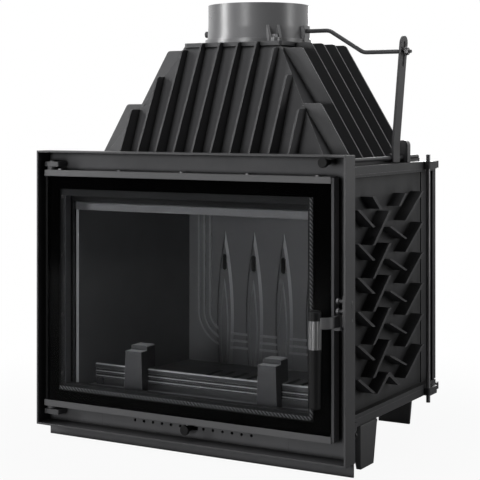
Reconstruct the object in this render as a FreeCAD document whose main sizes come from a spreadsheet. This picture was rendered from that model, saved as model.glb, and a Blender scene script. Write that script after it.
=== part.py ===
import FreeCAD, Part
import math
import os
import Sketcher
from types import SimpleNamespace

# Built-in wood fire insert with a glazed door, a ribbed cast body and a flue damper.
# Millimetres, Z up, front towards -Y. Depths are measured from the front edge of the surround.

SIZES = {
    # surround and front plate
    "frame_width": 656,
    "frame_top": 550,
    "frame_low": 25,
    "frame_depth": 38,
    "frame_sheet": 3.5,
    "plate_thick": 4,
    "plate_lap": 1.5,
    "plinth_inset": 4,
    "mouth_inset": 60,
    "mouth_drop": 62,
    # air panel and slider
    "panel_inset": 68,
    "panel_height": 32,
    "panel_gap": 0.3,
    "air_hole_radius": 2.8,
    "air_hole_first": 25,
    "air_hole_pitch": 20,
    "air_hole_count": 6,
    "air_hole_lift": 23,
    "air_travel": 10,
    "slider_margin": 20,
    "slider_height": 14,
    "slider_thick": 2,
    "guide_over": 15,
    "guide_sheet": 1.8,
    "guide_lap": 3,
    "guide_foot": 4,
    "slide_gap": 0.4,
    "stem_radius": 3,
    "knob_front_radius": 9,
    "knob_neck_radius": 5,
    "air_knob_reach": 27,
    "air_knob_length": 20,
    # cast body
    "body_inset": 18,
    "base_lift": 51,
    "base_thick": 14,
    "top_drop": 36,
    "top_thick": 14,
    "rear_reach": 464,
    "wall_inset": 13,
    "wall_thick": 8,
    "wall_foot": 7.5,
    "wall_head": 5,
    "rear_rim": 8,
    "rib_reach": 24,
    "rib_run": 10,
    "rib_steps": 7.03,
    "rib_rows_outer": 6,
    "rib_rows_inner": 5,
    "rear_rib_reach": 6,
    "corner_reach": 10,
    "corner_depth": 8,
    "seam_inset": 48,
    "seam_width": 5,
    "seam_deep": 2,
    # ears and tie rods
    "ear_reach": 12,
    "ear_length": 16,
    "ear_front_gap": 3,
    "rear_ear_length": 41,
    "rear_ear_inset": 35,
    "ear_corner": 5,
    "tie_inset": 7,
    "tie_radius": 4,
    "tie_gap": 0.3,
    "tie_over": 14,
    # dome
    "dome_flange": 6,
    "flange_side_gap": 30,
    "flange_front_gap": 16,
    "flange_back_gap": 18,
    "dome_side_gap": 67,
    "dome_front_gap": 56,
    "dome_back_gap": 40,
    "throat_side": 11,
    "throat_end": 10,
    "dome_height": 230,
    "dome_cap": 8,
    "dome_wall": 8,
    "fin_thick": 3.6,
    "fin_root": 4,
    "fin_corner": 9,
    "fin_drop": 1,
    "fin_outer_drop": 12.5,
    "fin_edge": 3.75,
    "fin_count": 6,
    "fin_foot_inset": 4,
    "fin_head_reach": 14,
    "fin_side_reach": 36,
    "side_fin_before": 98,
    "side_fin_after": 102,
    "side_fin_count": 5,
    # flue collar
    "flue_inset": 176,
    "flue_radius": 100,
    "flue_bore": 94,
    "collar_height": 76,
    "collar_flange": 8,
    "collar_flange_radius": 106,
    "collar_foot_radius": 102,
    "collar_straight": 42,
    "lug_radius": 11,
    "lug_circle": 112,
    "gusset_thick": 5,
    "gusset_spread": 21,
    "gusset_clear": 1.5,
    "gusset_sink": 1,
    "boss_half": 11,
    "boss_reach": 108,
    "bolt_radius": 4,
    "bolt_head_radius": 7,
    "bolt_head": 6,
    # damper linkage
    "crank_lift": 23,
    "shaft_radius": 4,
    "shaft_gap": 0.06,
    "shaft_straight": 48,
    "shaft_end_run": 60,
    "shaft_bend_radius": 24,
    "shaft_stop_radius": 6.4,
    "shaft_stop_length": 9,
    "shaft_stop_gap": 5,
    "crank_radius": 44,
    "crank_shoulder": 12,
    "crank_thin_radius": 3,
    "crank_over": 5,
    "nut_thick": 5,
    "nut_radius": 7,
    "nut_gap": 1,
    "washer_radius": 9,
    "washer_thick": 1.5,
    "blade_clear": 3,
    "blade_thick": 3,
    "blade_trim": 48,
    "blade_angle": -24,
    "blade_gap": 0.2,
    "rod_inset": 40,
    "rod_lift": 9.5,
    "rod_radius": 4,
    "rod_gap": 0.06,
    "rod_behind": 118,
    "knob_reach": 46,
    "knob_length": 24,
    "lever_thick": 4.5,
    "lever_width": 30,
    "lever_round": 14.4,
    "lever_bend_lift": 22.5,
    "lever_head": 29,
    "lever_lean": 17,
    "lever_collar_radius": 8,
    "lever_lift": 2,
    "slot_below": 29,
    "slot_above": 19,
    "slot_radius": 4.5,
    "bracket_behind": 50,
    "bracket_length": 14,
    "bracket_width": 24,
    "bracket_height": 42,
    # legs
    "leg_sheet": 5,
    "leg_over": 3,
    "leg_gap": 51,
    "leg_head_length": 70,
    "leg_foot_length": 54,
    "leg_head_flange": 24,
    "leg_foot_flange": 9,
    "leg_tab": 45,
    "leg_bolt_drop": 16,
    "rear_leg_inset": 9,
    "rear_leg_width": 74,
    "rear_leg_side": 52,
    "rear_leg_taper": 7,
    "rear_leg_tab": 35,
    # firebox
    "hearth_thick": 6,
    "lining_thick": 6.5,
    "lining_gap": 4,
    "lining_taper": 32,
    "lining_drop": 16,
    "back_gap": 53,
    "back_thick": 14,
    "back_rise": 34,
    "leaf_pitch": 70,
    "leaf_count": 5,
    "leaf_drop": 61,
    "leaf_foot_half": 15,
    "leaf_curve": 830,
    "leaf_rise": 3.5,
    "leaf_slope": 5,
    "leaf_tip_slope": 26,
    "inner_drop": 100,
    "inner_foot_half": 5,
    "inner_curve": 620,
    "inner_rise": 2,
    "inner_slope": 2,
    "inner_tip_slope": 10,
    "oval_drop": 66,
    "oval_half": 11.5,
    "oval_radius": 5.5,
    "bead_width": 4,
    "bead_rise": 3,
    "bead_pitch": 13.8,
    "bead_inset": 57.5,
    "bead_lift": 62,
    "bead_drop": 14.5,
    "bead_corner": 48,
    "baffle_thick": 10,
    "baffle_depth": 245,
    "baffle_inset": 6,
    "baffle_gap": 1,
    "lintel_over": 6,
    "lintel_lip": 14.5,
    "lintel_sheet": 4,
    "lintel_depth": 50,
    "grate_side": 114,
    "grate_front_gap": 104,
    "grate_back_gap": 55,
    "grate_gap": 0.5,
    "grate_slot_side": 15.25,
    "grate_slot_count": 8,
    "grate_slot_radius": 5,
    "grate_slot_margin": 18,
    "fence_gap": 34,
    "fence_thick": 7,
    "fence_inset": 22,
    "fence_lift": 14,
    "fence_height": 27,
    "fence_bead": 3,
    "fence_foot": 14,
    "stop_inset": 102,
    "stop_ahead": 20,
    "stop_foot_half": 20.5,
    "stop_head_half": 17.6,
    "stop_rise": 34,
    "stop_step": 9,
    "stop_hook": 20,
    "stop_gap": 0.4,
    "ash_wall": 2,
    "ash_depth": 44,
    "ash_inset": 10,
    "ash_rim": 14,
    "pan_gap": 3,
    "pan_height": 36,
    # door
    "door_left_gap": 10.5,
    "door_right_gap": 23,
    "door_lift": 37,
    "door_drop": 38.5,
    "door_front": 10,
    "door_back_gap": 3,
    "door_rim": 5,
    "door_corner": 5,
    "glass_thick": 4,
    "glass_gap": 0.4,
    "seal_thick": 4,
    "border_left": 42,
    "border_right": 53.5,
    "border_low": 44,
    "border_top": 47.5,
    "rope_out_left": 19,
    "rope_out_right": 8,
    "rope_out_low": 9,
    "rope_out_top": 16,
    "rope_radius": 3.8,
    "rope_gap": 0.2,
    "rail_sheet": 1.5,
    "rail_lip": 11.5,
    "rail_over": 2,
    "rail_short": 5.5,
    "rail_screw_margin": 31,
    "rail_screw_tail": 29,
    "rail_screw_count": 5,
    "rail_screw_depth": 10,
    "rail_screw_radius": 5.5,
    "rail_screw_head": 3.2,
    "seal_inset": 14,
    "seal_width": 9,
    "seal_depth": 4,
    "seal_stand": 0.4,
    "frame_screw_side": 7,
    "frame_screw_margin": 18,
    "frame_screw_tail": 2.5,
    "frame_screw_count": 4,
    "frame_screw_radius": 3.5,
    "frame_screw_head": 2,
    # hinges
    "hinge_inset": 8,
    "hinge_depth": 10,
    "hinge_pin_radius": 4,
    "hinge_gap": 0.06,
    "hinge_pin_head": 1.5,
    "hinge_pin_head_radius": 5.5,
    "knuckle_radius": 9,
    "knuckle_length": 6,
    "knuckle_space": 0.6,
    "hinge_leaf": 9,
    "hinge_leaf_before": 12,
    "hinge_leaf_after": 22,
    "hinge_leaf_round": 3,
    # handle and latch
    "handle_inset": 18.5,
    "handle_reach": 35,
    "grip_length": 101,
    "sleeve_length": 48,
    "cap_length": 17,
    "handle_lift": 3.25,
    "grip_foot_radius": 9.5,
    "sleeve_radius": 11,
    "flute_count": 16,
    "flute_radius": 1.6,
    "flute_deep": 0.7,
    "cap_corner": 5,
    "grip_corner": 4,
    "arm_thick": 5,
    "arm_drop": 13.5,
    "arm_height": 19,
    "arm_stand": 6.5,
    "arm_corner": 16,
    "arm_gap": 0.15,
    "pivot_depth": 10,
    "pivot_eye": 7,
    "pivot_round": 6,
    "pivot_radius": 3,
    "pivot_gap": 0.06,
    "pivot_space": 0.4,
    "pivot_leaf": 6,
    "pivot_leaf_length": 20,
    "tongue_reach": 9,
    "tongue_height": 8,
    "catch_thick": 4,
    "catch_ahead": 6,
    "catch_short": 3,
    "catch_drop": 1.5,
    "catch_height": 55,
    "catch_corner": 5,
    "catch_screw_back": 8.2,
    "catch_screw_margin": 11.7,
    "catch_screw_radius": 2.5,
    "catch_hole_gap": 0.2,
    "roller_depth": 2,
    "roller_lift": 7.5,
    "roller_spread": 17,
    "roller_radius": 5.5,
    "roller_pin_radius": 3,
    "roller_stand": 19.5,
    "roller_thick": 6,
}

doc = FreeCAD.newDocument("fireplace_insert")
sheet = doc.addObject("Spreadsheet::Sheet", "sizes")
for row, (word, value) in enumerate(SIZES.items(), start=1):
    sheet.set(f"A{row}", word)
    sheet.set(f"B{row}", str(value))
    sheet.setAlias(f"B{row}", word)
doc.recompute()


class Size:
    """A length that knows its number and the sheet expression behind it."""

    def __init__(self, number, text):
        self.number = number
        self.text = text

    def __add__(self, other):
        return Size(self.number + number(other), f"({self.text} + {text(other)})")

    def __radd__(self, other):
        return Size(number(other) + self.number, f"({text(other)} + {self.text})")

    def __sub__(self, other):
        return Size(self.number - number(other), f"({self.text} - {text(other)})")

    def __rsub__(self, other):
        return Size(number(other) - self.number, f"({text(other)} - {self.text})")

    def __mul__(self, other):
        return Size(self.number * number(other), f"({self.text} * {text(other)})")

    def __rmul__(self, other):
        return Size(number(other) * self.number, f"({text(other)} * {self.text})")

    def __truediv__(self, other):
        return Size(self.number / number(other), f"({self.text} / {text(other)})")

    def __neg__(self):
        return Size(-self.number, f"(-1 * {self.text})")


def number(value):
    return value.number if isinstance(value, Size) else float(value)


def text(value):
    return value.text if isinstance(value, Size) else f"({float(value)!r})"


s = SimpleNamespace(**{word: Size(float(value), f"sizes.{word}") for word, value in SIZES.items()})
parts = []


def bind(thing, field, value):
    thing.setExpression(field, text(value))


def finish_part(thing, label):
    """Names a sub-part and centres the whole object over its origin."""
    thing.Label = label
    bind(thing, "Placement.Base.y", -middle)
    parts.append(thing)
    return thing


def new_body(label):
    return finish_part(doc.addObject("PartDesign::Body", label), label)


def plane_of(body, role):
    return next(item for item in body.Origin.OriginFeatures if item.Role == role)


def new_sketch(body, plane, at=0):
    """A sketch parallel to one of the body's own planes, at the given coordinate."""
    drawing = body.newObject("Sketcher::SketchObject", "outline")
    drawing.AttachmentSupport = [(plane_of(body, plane + "_Plane"), "")]
    drawing.MapMode = "FlatFace"
    bind(drawing, "AttachmentOffset.Base.z", -1 * at if plane == "XZ" else at)
    return drawing


def measure(drawing, kind, *where, value):
    index = drawing.addConstraint(Sketcher.Constraint(kind, *where, number(value)))
    drawing.setExpression(f"Constraints[{index}]", text(value))


def pin_point(drawing, item, end, across, up):
    measure(drawing, "DistanceX", -1, 1, item, end, value=across)
    measure(drawing, "DistanceY", -1, 1, item, end, value=up)


def wire(drawing, points, closed=True):
    """Straight lines through (across, up) points; a third value rounds that corner."""
    count = len(points)
    spots = [FreeCAD.Vector(number(point[0]), number(point[1]), 0) for point in points]
    enter = list(spots)
    leave = list(spots)
    arcs = {}
    for index, point in enumerate(points):
        if len(point) < 3:
            continue
        before = (spots[index - 1] - spots[index]).normalize()
        after = (spots[(index + 1) % count] - spots[index]).normalize()
        half = before.getAngle(after) / 2
        radius = number(point[2])
        enter[index] = spots[index] + before * (radius / math.tan(half))
        leave[index] = spots[index] + after * (radius / math.tan(half))
        centre = spots[index] + (before + after).normalize() * (radius / math.sin(half))
        left_turn = before.cross(after).z < 0
        first, last = (enter[index], leave[index]) if left_turn else (leave[index], enter[index])
        start = math.atan2(first.y - centre.y, first.x - centre.x)
        end = math.atan2(last.y - centre.y, last.x - centre.x)
        circle = Part.Circle(centre, FreeCAD.Vector(0, 0, 1), radius)
        bend = drawing.addGeometry(Part.ArcOfCircle(circle, start, end), False)
        corner = drawing.addGeometry(Part.Point(spots[index]), True)
        arcs[index] = (bend, corner, (1, 2) if left_turn else (2, 1))
    lines = []
    for index in range(count if closed else count - 1):
        segment = Part.LineSegment(leave[index], enter[(index + 1) % count])
        lines.append(drawing.addGeometry(segment, False))
    for index, point in enumerate(points):
        ahead = lines[index] if index < len(lines) else None
        behind = lines[index - 1] if closed or index > 0 else None
        if index in arcs:
            bend, corner, ends = arcs[index]
            drawing.addConstraint(Sketcher.Constraint("Tangent", behind, 2, bend, ends[0]))
            drawing.addConstraint(Sketcher.Constraint("Tangent", bend, ends[1], ahead, 1))
            drawing.addConstraint(Sketcher.Constraint("PointOnObject", corner, 1, behind))
            drawing.addConstraint(Sketcher.Constraint("PointOnObject", corner, 1, ahead))
            pin_point(drawing, corner, 1, point[0], point[1])
            measure(drawing, "Radius", bend, value=point[2])
            continue
        if ahead is not None and behind is not None:
            drawing.addConstraint(Sketcher.Constraint("Coincident", behind, 2, ahead, 1))
        if ahead is not None:
            pin_point(drawing, ahead, 1, point[0], point[1])
        else:
            pin_point(drawing, behind, 2, point[0], point[1])


def rectangle(drawing, across, up, corner=None):
    points = [(across[0], up[0]), (across[1], up[0]), (across[1], up[1]), (across[0], up[1])]
    wire(drawing, [point + (corner,) for point in points] if corner else points)


def circle(drawing, across, up, radius):
    centre = FreeCAD.Vector(number(across), number(up), 0)
    item = drawing.addGeometry(Part.Circle(centre, FreeCAD.Vector(0, 0, 1), number(radius)), False)
    pin_point(drawing, item, 3, across, up)
    measure(drawing, "Radius", item, value=radius)


def arc_between(drawing, start, end, radius):
    """A counter-clockwise arc shorter than a half circle, from start to end."""
    first = FreeCAD.Vector(number(start[0]), number(start[1]), 0)
    last = FreeCAD.Vector(number(end[0]), number(end[1]), 0)
    chord = last - first
    reach = math.sqrt(number(radius) ** 2 - (chord.Length / 2) ** 2)
    centre = (first + last) * 0.5 + FreeCAD.Vector(-chord.y, chord.x, 0).normalize() * reach
    angles = [math.atan2(spot.y - centre.y, spot.x - centre.x) for spot in (first, last)]
    base = Part.Circle(centre, FreeCAD.Vector(0, 0, 1), number(radius))
    item = drawing.addGeometry(Part.ArcOfCircle(base, angles[0], angles[1]), False)
    pin_point(drawing, item, 1, *start)
    pin_point(drawing, item, 2, *end)
    measure(drawing, "Radius", item, value=radius)
    return item


def upright_slot(drawing, across, up, radius):
    """A round-ended slot whose end centres lie at the two heights."""
    wide = number(radius)
    low_spot = FreeCAD.Vector(number(across), number(up[0]), 0)
    high_spot = FreeCAD.Vector(number(across), number(up[1]), 0)
    aside = FreeCAD.Vector(wide, 0, 0)
    up_axis = FreeCAD.Vector(0, 0, 1)
    head = Part.ArcOfCircle(Part.Circle(high_spot, up_axis, wide), 0, math.pi)
    foot = Part.ArcOfCircle(Part.Circle(low_spot, up_axis, wide), math.pi, 2 * math.pi)
    right = Part.LineSegment(low_spot + aside, high_spot + aside)
    left = Part.LineSegment(high_spot - aside, low_spot - aside)
    head_id, foot_id, right_id, left_id = drawing.addGeometry([head, foot, right, left], False)
    drawing.addConstraint(Sketcher.Constraint("Tangent", right_id, 2, head_id, 1))
    drawing.addConstraint(Sketcher.Constraint("Tangent", head_id, 2, left_id, 1))
    drawing.addConstraint(Sketcher.Constraint("Tangent", left_id, 2, foot_id, 1))
    drawing.addConstraint(Sketcher.Constraint("Tangent", foot_id, 2, right_id, 1))
    pin_point(drawing, head_id, 3, across, up[1])
    pin_point(drawing, foot_id, 3, across, up[0])
    measure(drawing, "Radius", head_id, value=radius)


def add_feature(body, kind, drawing, length, reverse, both):
    feature = body.newObject("PartDesign::" + kind, kind.lower())
    feature.Profile = drawing
    bind(feature, "Length", length)
    feature.Reversed = reverse
    if both:
        feature.SideType = "Symmetric"
    drawing.Visibility = False
    return feature


def pad(body, drawing, length, reverse=False, both=False):
    return add_feature(body, "Pad", drawing, length, reverse, both)


def pocket(body, drawing, length, reverse=False, both=False):
    return add_feature(body, "Pocket", drawing, length, reverse, both)


def repeat(body, features, axis, spacing, count, reverse=False):
    feature = body.newObject("PartDesign::LinearPattern", "row")
    feature.Originals = features
    feature.Direction = (plane_of(body, axis + "_Axis"), [""])
    feature.Mode = "Spacing"
    bind(feature, "Offset", spacing)
    bind(feature, "Occurrences", count)
    feature.Reversed = reverse
    body.Tip = feature
    return feature


def spin_copies(body, features, count):
    feature = body.newObject("PartDesign::PolarPattern", "ring")
    feature.Originals = features
    feature.Axis = (plane_of(body, "Z_Axis"), [""])
    feature.Angle = 360
    bind(feature, "Occurrences", count)
    body.Tip = feature
    return feature


def mirror(body, features, plane):
    feature = body.newObject("PartDesign::Mirrored", "mirror")
    feature.Originals = features
    feature.MirrorPlane = (plane_of(body, plane + "_Plane"), [""])
    body.Tip = feature
    return feature


def revolve(body, drawing, axis):
    feature = body.newObject("PartDesign::Revolution", "turned")
    feature.Profile = drawing
    feature.ReferenceAxis = (drawing, [axis])
    feature.Angle = 360
    drawing.Visibility = False
    return feature


def loft(body, kind, sketches):
    feature = body.newObject("PartDesign::" + kind, "loft")
    feature.Profile = sketches[0]
    feature.Sections = sketches[1:]
    feature.Ruled = True
    return feature


def primitive(kind, sizes, base, turn=None):
    """A Part primitive with bound sizes and position, turned so that its length lies along an axis."""
    thing = doc.addObject("Part::" + kind, kind.lower())
    for field, value in sizes.items():
        bind(thing, field, value)
    if turn == "X":
        thing.Placement.Rotation = FreeCAD.Rotation(FreeCAD.Vector(0, 1, 0), 90)
    if turn == "Y":
        thing.Placement.Rotation = FreeCAD.Rotation(FreeCAD.Vector(1, 0, 0), -90)
    for axis, value in zip("xyz", base):
        bind(thing, f"Placement.Base.{axis}", value)
    return thing


def cylinder(radius, length, base, turn=None):
    return primitive("Cylinder", {"Radius": radius, "Height": length}, base, turn)


def hexagon(radius, length, base, turn=None):
    return primitive("Prism", {"Circumradius": radius, "Height": length}, base, turn)


def box(across, deep, up):
    sides = {"Length": across[1] - across[0], "Width": deep[1] - deep[0], "Height": up[1] - up[0]}
    return primitive("Box", sides, (across[0], deep[0], up[0]))


def join(pieces):
    thing = doc.addObject("Part::MultiFuse", "joined")
    thing.Shapes = pieces
    return thing


def cut(base, tool):
    thing = doc.addObject("Part::Cut", "cut")
    thing.Base = base
    thing.Tool = tool
    return thing


def group(label, pieces):
    thing = doc.addObject("Part::Compound", label)
    thing.Links = pieces
    return finish_part(thing, label)


# main planes of the surround and the body
frame_half = s.frame_width / 2
frame_inner = frame_half - s.frame_sheet
front_back = s.frame_depth + s.plate_thick
mouth_half = frame_half - s.mouth_inset
panel_side = mouth_half - s.panel_inset
panel_high = s.frame_low + s.panel_height
body_half = frame_half - s.body_inset
wall_face = body_half - s.wall_inset
wall_inner = wall_face - s.wall_thick
base_low = s.frame_low + s.base_lift
base_top = base_low + s.base_thick
floor_top = base_top + s.hearth_thick
top_low = s.frame_top - s.top_drop
top_top = top_low + s.top_thick
mouth_high = top_low - s.mouth_drop
rear_face = s.rear_reach - s.rear_rim
rear_inner = rear_face - s.wall_thick

# door, its hinge line, its handle and its latch
door_left = s.door_left_gap - frame_inner
door_right = frame_inner - s.door_right_gap
door_low = s.frame_low + s.door_lift
door_top = s.frame_top - s.door_drop
door_back = s.frame_depth - s.door_back_gap
hinge_x = door_left + s.hinge_inset
hinge_y = s.door_front + s.hinge_depth
handle_x = door_right - s.handle_inset
handle_y = s.door_front - s.handle_reach
cap_high = (door_low + door_top) / 2 + s.handle_lift
sleeve_high = cap_high - s.cap_length
grip_high = sleeve_high - s.sleeve_length
grip_low = grip_high - s.grip_length
arm_low = sleeve_high - s.arm_drop
arm_x = door_right + s.arm_stand
pivot_y = s.door_front + s.pivot_depth
catch_low = arm_low - s.catch_drop
catch_high = catch_low + s.catch_height
catch_back = s.frame_depth - s.catch_short
catch_screw_y = catch_back - s.catch_screw_back
catch_screw_low = catch_low + s.catch_screw_margin
catch_screw_high = catch_high - s.catch_screw_margin

# flue, damper rod, crank and lever
flue_y = s.rear_reach - s.flue_inset
dome_top = top_top + s.dome_height
flue_top = dome_top + s.collar_height
crank_z = dome_top + s.crank_lift
crank_pin_z = crank_z - s.crank_radius
rod_x = frame_half - s.rod_inset
rod_z = top_top + s.rod_lift
lever_inner = rod_x + s.rod_radius
lever_face = lever_inner + s.lever_thick + s.lever_lean
nut_at = lever_face + s.nut_gap

# firebox
lining_front = front_back + s.lining_gap
lining_top = mouth_high - s.lining_drop
lining_back_half = mouth_half - s.lining_taper
back_face = rear_inner - s.back_gap
grate_half = lining_back_half - s.grate_side
grate_front = lining_front + s.grate_front_gap
grate_back = back_face - s.grate_back_gap
middle = (s.rear_reach + handle_y - s.sleeve_radius) / 2


# surround ring: folded sheet, drilled on the right for the latch screws
body = new_body("surround_frame")
ring = new_sketch(body, "XZ", s.frame_depth)
rectangle(ring, (-frame_half, frame_half), (s.frame_low, s.frame_top))
rectangle(ring, (-frame_inner, frame_inner), (s.frame_low + s.frame_sheet, s.frame_top - s.frame_sheet))
pad(body, ring, s.frame_depth)
drill = new_sketch(body, "YZ", frame_half)
for height in (catch_screw_low, catch_screw_high):
    circle(drill, catch_screw_y, height, s.catch_screw_radius + s.catch_hole_gap)
pocket(body, drill, s.frame_sheet)

# front plate with the fire mouth, the air panel's opening and the plinth strip
body = new_body("front_plate")
lap_half = frame_inner + s.plate_lap
plinth_half = frame_half - s.plinth_inset
face = new_sketch(body, "XZ", front_back)
wire(face, [
    (-plinth_half, 0),
    (plinth_half, 0),
    (plinth_half, s.frame_low),
    (lap_half, s.frame_low),
    (lap_half, s.frame_top - s.frame_sheet + s.plate_lap),
    (-lap_half, s.frame_top - s.frame_sheet + s.plate_lap),
    (-lap_half, s.frame_low),
    (-plinth_half, s.frame_low),
])
rectangle(face, (-mouth_half, mouth_half), (base_top, mouth_high))
rectangle(face, (-panel_side, panel_side), (s.frame_low + s.frame_sheet, panel_high))
circle(face, rod_x, rod_z, s.rod_radius + s.rod_gap)
pad(body, face, s.plate_thick)

# air panel in the plinth: two rows of holes and the knob's slot
air_hole_z = s.frame_low + s.air_hole_lift
body = new_body("air_panel")
panel_half = panel_side - s.panel_gap
panel_low = s.frame_low + s.frame_sheet
face = new_sketch(body, "XZ", front_back)
rectangle(face, (-panel_half, panel_half), (panel_low + s.panel_gap, panel_high - s.panel_gap))
slot_half = s.air_travel + s.stem_radius + s.slide_gap
slot_rise = s.stem_radius + s.slide_gap
rectangle(face, (-slot_half, slot_half), (air_hole_z - slot_rise, air_hole_z + slot_rise))
pad(body, face, s.plate_thick)
drill = new_sketch(body, "XZ", s.frame_depth)
circle(drill, s.air_hole_first, air_hole_z, s.air_hole_radius)
hole = pocket(body, drill, s.plate_thick)
row = repeat(body, [hole], "X", s.air_hole_pitch, s.air_hole_count)
drill = new_sketch(body, "XZ", s.frame_depth)
circle(drill, -s.air_hole_first, air_hole_z, s.air_hole_radius)
hole = pocket(body, drill, s.plate_thick)
repeat(body, [hole], "X", s.air_hole_pitch, s.air_hole_count, reverse=True)

# slider guides: folded strips that hold the air slider against the panel's back
slider_half = s.air_hole_first + s.air_hole_pitch * (s.air_hole_count - 1) + s.slider_margin
slider_low = air_hole_z - s.slider_height / 2
slider_high = air_hole_z + s.slider_height / 2
slider_front = front_back + s.slide_gap
slider_back = slider_front + s.slider_thick
body = new_body("slider_guides")
for turn, edge in ((-1, slider_low), (1, slider_high)):
    guide = new_sketch(body, "YZ")
    near = edge + turn * s.slide_gap
    far = near + turn * s.guide_foot
    lip = edge - turn * s.guide_lap
    lip_front = slider_back + s.slide_gap
    outline = [
        (front_back, near),
        (lip_front, near),
        (lip_front, lip),
        (lip_front + s.guide_sheet, lip),
        (lip_front + s.guide_sheet, far),
        (front_back, far),
    ]
    wire(guide, outline if turn > 0 else outline[::-1])
    pad(body, guide, 2 * (slider_half + s.guide_over), both=True)

# air slider: drilled plate with a stem through the panel's slot, shut in its middle place
air_knob_front = s.frame_depth - s.air_knob_reach
body = new_body("air_slider")
face = new_sketch(body, "XZ", slider_back)
rectangle(face, (-slider_half, slider_half), (slider_low, slider_high))
pad(body, face, s.slider_thick)
stem = new_sketch(body, "XZ", slider_front)
circle(stem, 0, air_hole_z, s.stem_radius)
pad(body, stem, slider_front - air_knob_front - s.air_knob_length)
drill = new_sketch(body, "XZ", slider_front)
circle(drill, s.air_travel + s.air_hole_first, air_hole_z, s.air_hole_radius)
hole = pocket(body, drill, s.slider_thick)
repeat(body, [hole], "X", s.air_hole_pitch, s.air_hole_count)
drill = new_sketch(body, "XZ", slider_front)
circle(drill, s.air_travel - s.air_hole_first, air_hole_z, s.air_hole_radius)
hole = pocket(body, drill, s.slider_thick)
repeat(body, [hole], "X", s.air_hole_pitch, s.air_hole_count, reverse=True)


def turned_knob(label, across, up, front, length):
    """A mushroom knob turned about a line along Y, wide in front and waisted behind."""
    body = new_body(label)
    profile = new_sketch(body, "XY")
    wide = s.knob_front_radius
    neck = s.knob_neck_radius
    wire(profile, [
        (0, front),
        (wide, front, wide / 6),
        (wide, front + length * 0.3),
        (wide * 0.8, front + length * 0.42),
        (neck, front + length * 0.75),
        (neck, front + length),
        (0, front + length),
    ])
    revolve(body, profile, "V_Axis")
    bind(body, "Placement.Base.x", across)
    bind(body, "Placement.Base.z", up)


turned_knob("air_knob", 0, air_hole_z, air_knob_front, s.air_knob_length)


ear_hole_x = body_half + s.ear_reach / 2
ear_front = front_back + s.ear_front_gap
ear_rear = s.rear_reach - s.rear_ear_inset - s.rear_ear_length
ear_rows = (ear_front + s.tie_inset, ear_rear + s.tie_inset)
dome_base_half = body_half - s.dome_side_gap
dome_base_front = front_back + s.dome_front_gap
dome_base_back = s.rear_reach - s.dome_back_gap


def plate_outline(drawing):
    """A cast plate with four round-cornered ears for the tie rods."""
    edge = body_half
    tip = edge + s.ear_reach
    stops = [ear_front, ear_front + s.ear_length, ear_rear, ear_rear + s.rear_ear_length]
    right = [(edge, front_back)]
    for low, high in (stops[:2], stops[2:]):
        right += [(edge, low), (tip, low, s.ear_corner), (tip, high, s.ear_corner), (edge, high)]
    right.append((edge, s.rear_reach))
    left = [(-point[0],) + point[1:] for point in right[::-1]]
    wire(drawing, right + left)
    for side in (-1, 1):
        for deep in ear_rows:
            circle(drawing, side * ear_hole_x, deep, s.tie_radius + s.tie_gap)


# top plate, open under the dome
body = new_body("top_plate")
face = new_sketch(body, "XY", top_low)
plate_outline(face)
dome_inner = dome_base_half - s.dome_wall
dome_deep = (dome_base_front + s.dome_wall, dome_base_back - s.dome_wall)
rectangle(face, (-dome_inner, dome_inner), dome_deep)
pad(body, face, s.top_thick)

# base plate, open under the grate
body = new_body("base_plate")
face = new_sketch(body, "XY", base_low)
plate_outline(face)
ash_open = grate_half - s.ash_rim
ash_deep = (grate_front + s.ash_rim, grate_back - s.ash_rim)
rectangle(face, (-ash_open, ash_open), ash_deep)
pad(body, face, s.base_thick)

# four tie rods through the ears
tie_low = base_low - s.tie_over
tie_length = top_top + s.tie_over - tie_low
rods = []
for side in (-1, 1):
    for deep in ear_rows:
        rods.append(cylinder(s.tie_radius, tie_length, (side * ear_hole_x, deep, tie_low)))
group("tie_rods", rods)


wall_low = base_top + s.wall_foot
rib_pitch = (top_low - s.wall_head - wall_low) / s.rib_steps
rib_front = front_back + s.wall_head / 2
rib_column = (rear_inner - rib_front) / 4.9


def rib_spot(columns, steps):
    """A point on a side wall, counted in rib columns from the front and rib pitches from the foot."""
    return (rib_front + columns * rib_column, wall_low + steps * rib_pitch)


def rib(body, side, start, end, rows):
    """A row of slanting cast ribs, one above the other, on a side wall."""
    drawing = new_sketch(body, "YZ", side * wall_face)
    outline = [
        start,
        (start[0] + s.rib_run, start[1]),
        (end[0] + s.rib_run, end[1]),
        end,
    ]
    wire(drawing, outline)
    first = pad(body, drawing, s.rib_reach, reverse=side < 0)
    if rows is not None:
        repeat(body, [first], "Z", rib_pitch, rows)


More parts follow.
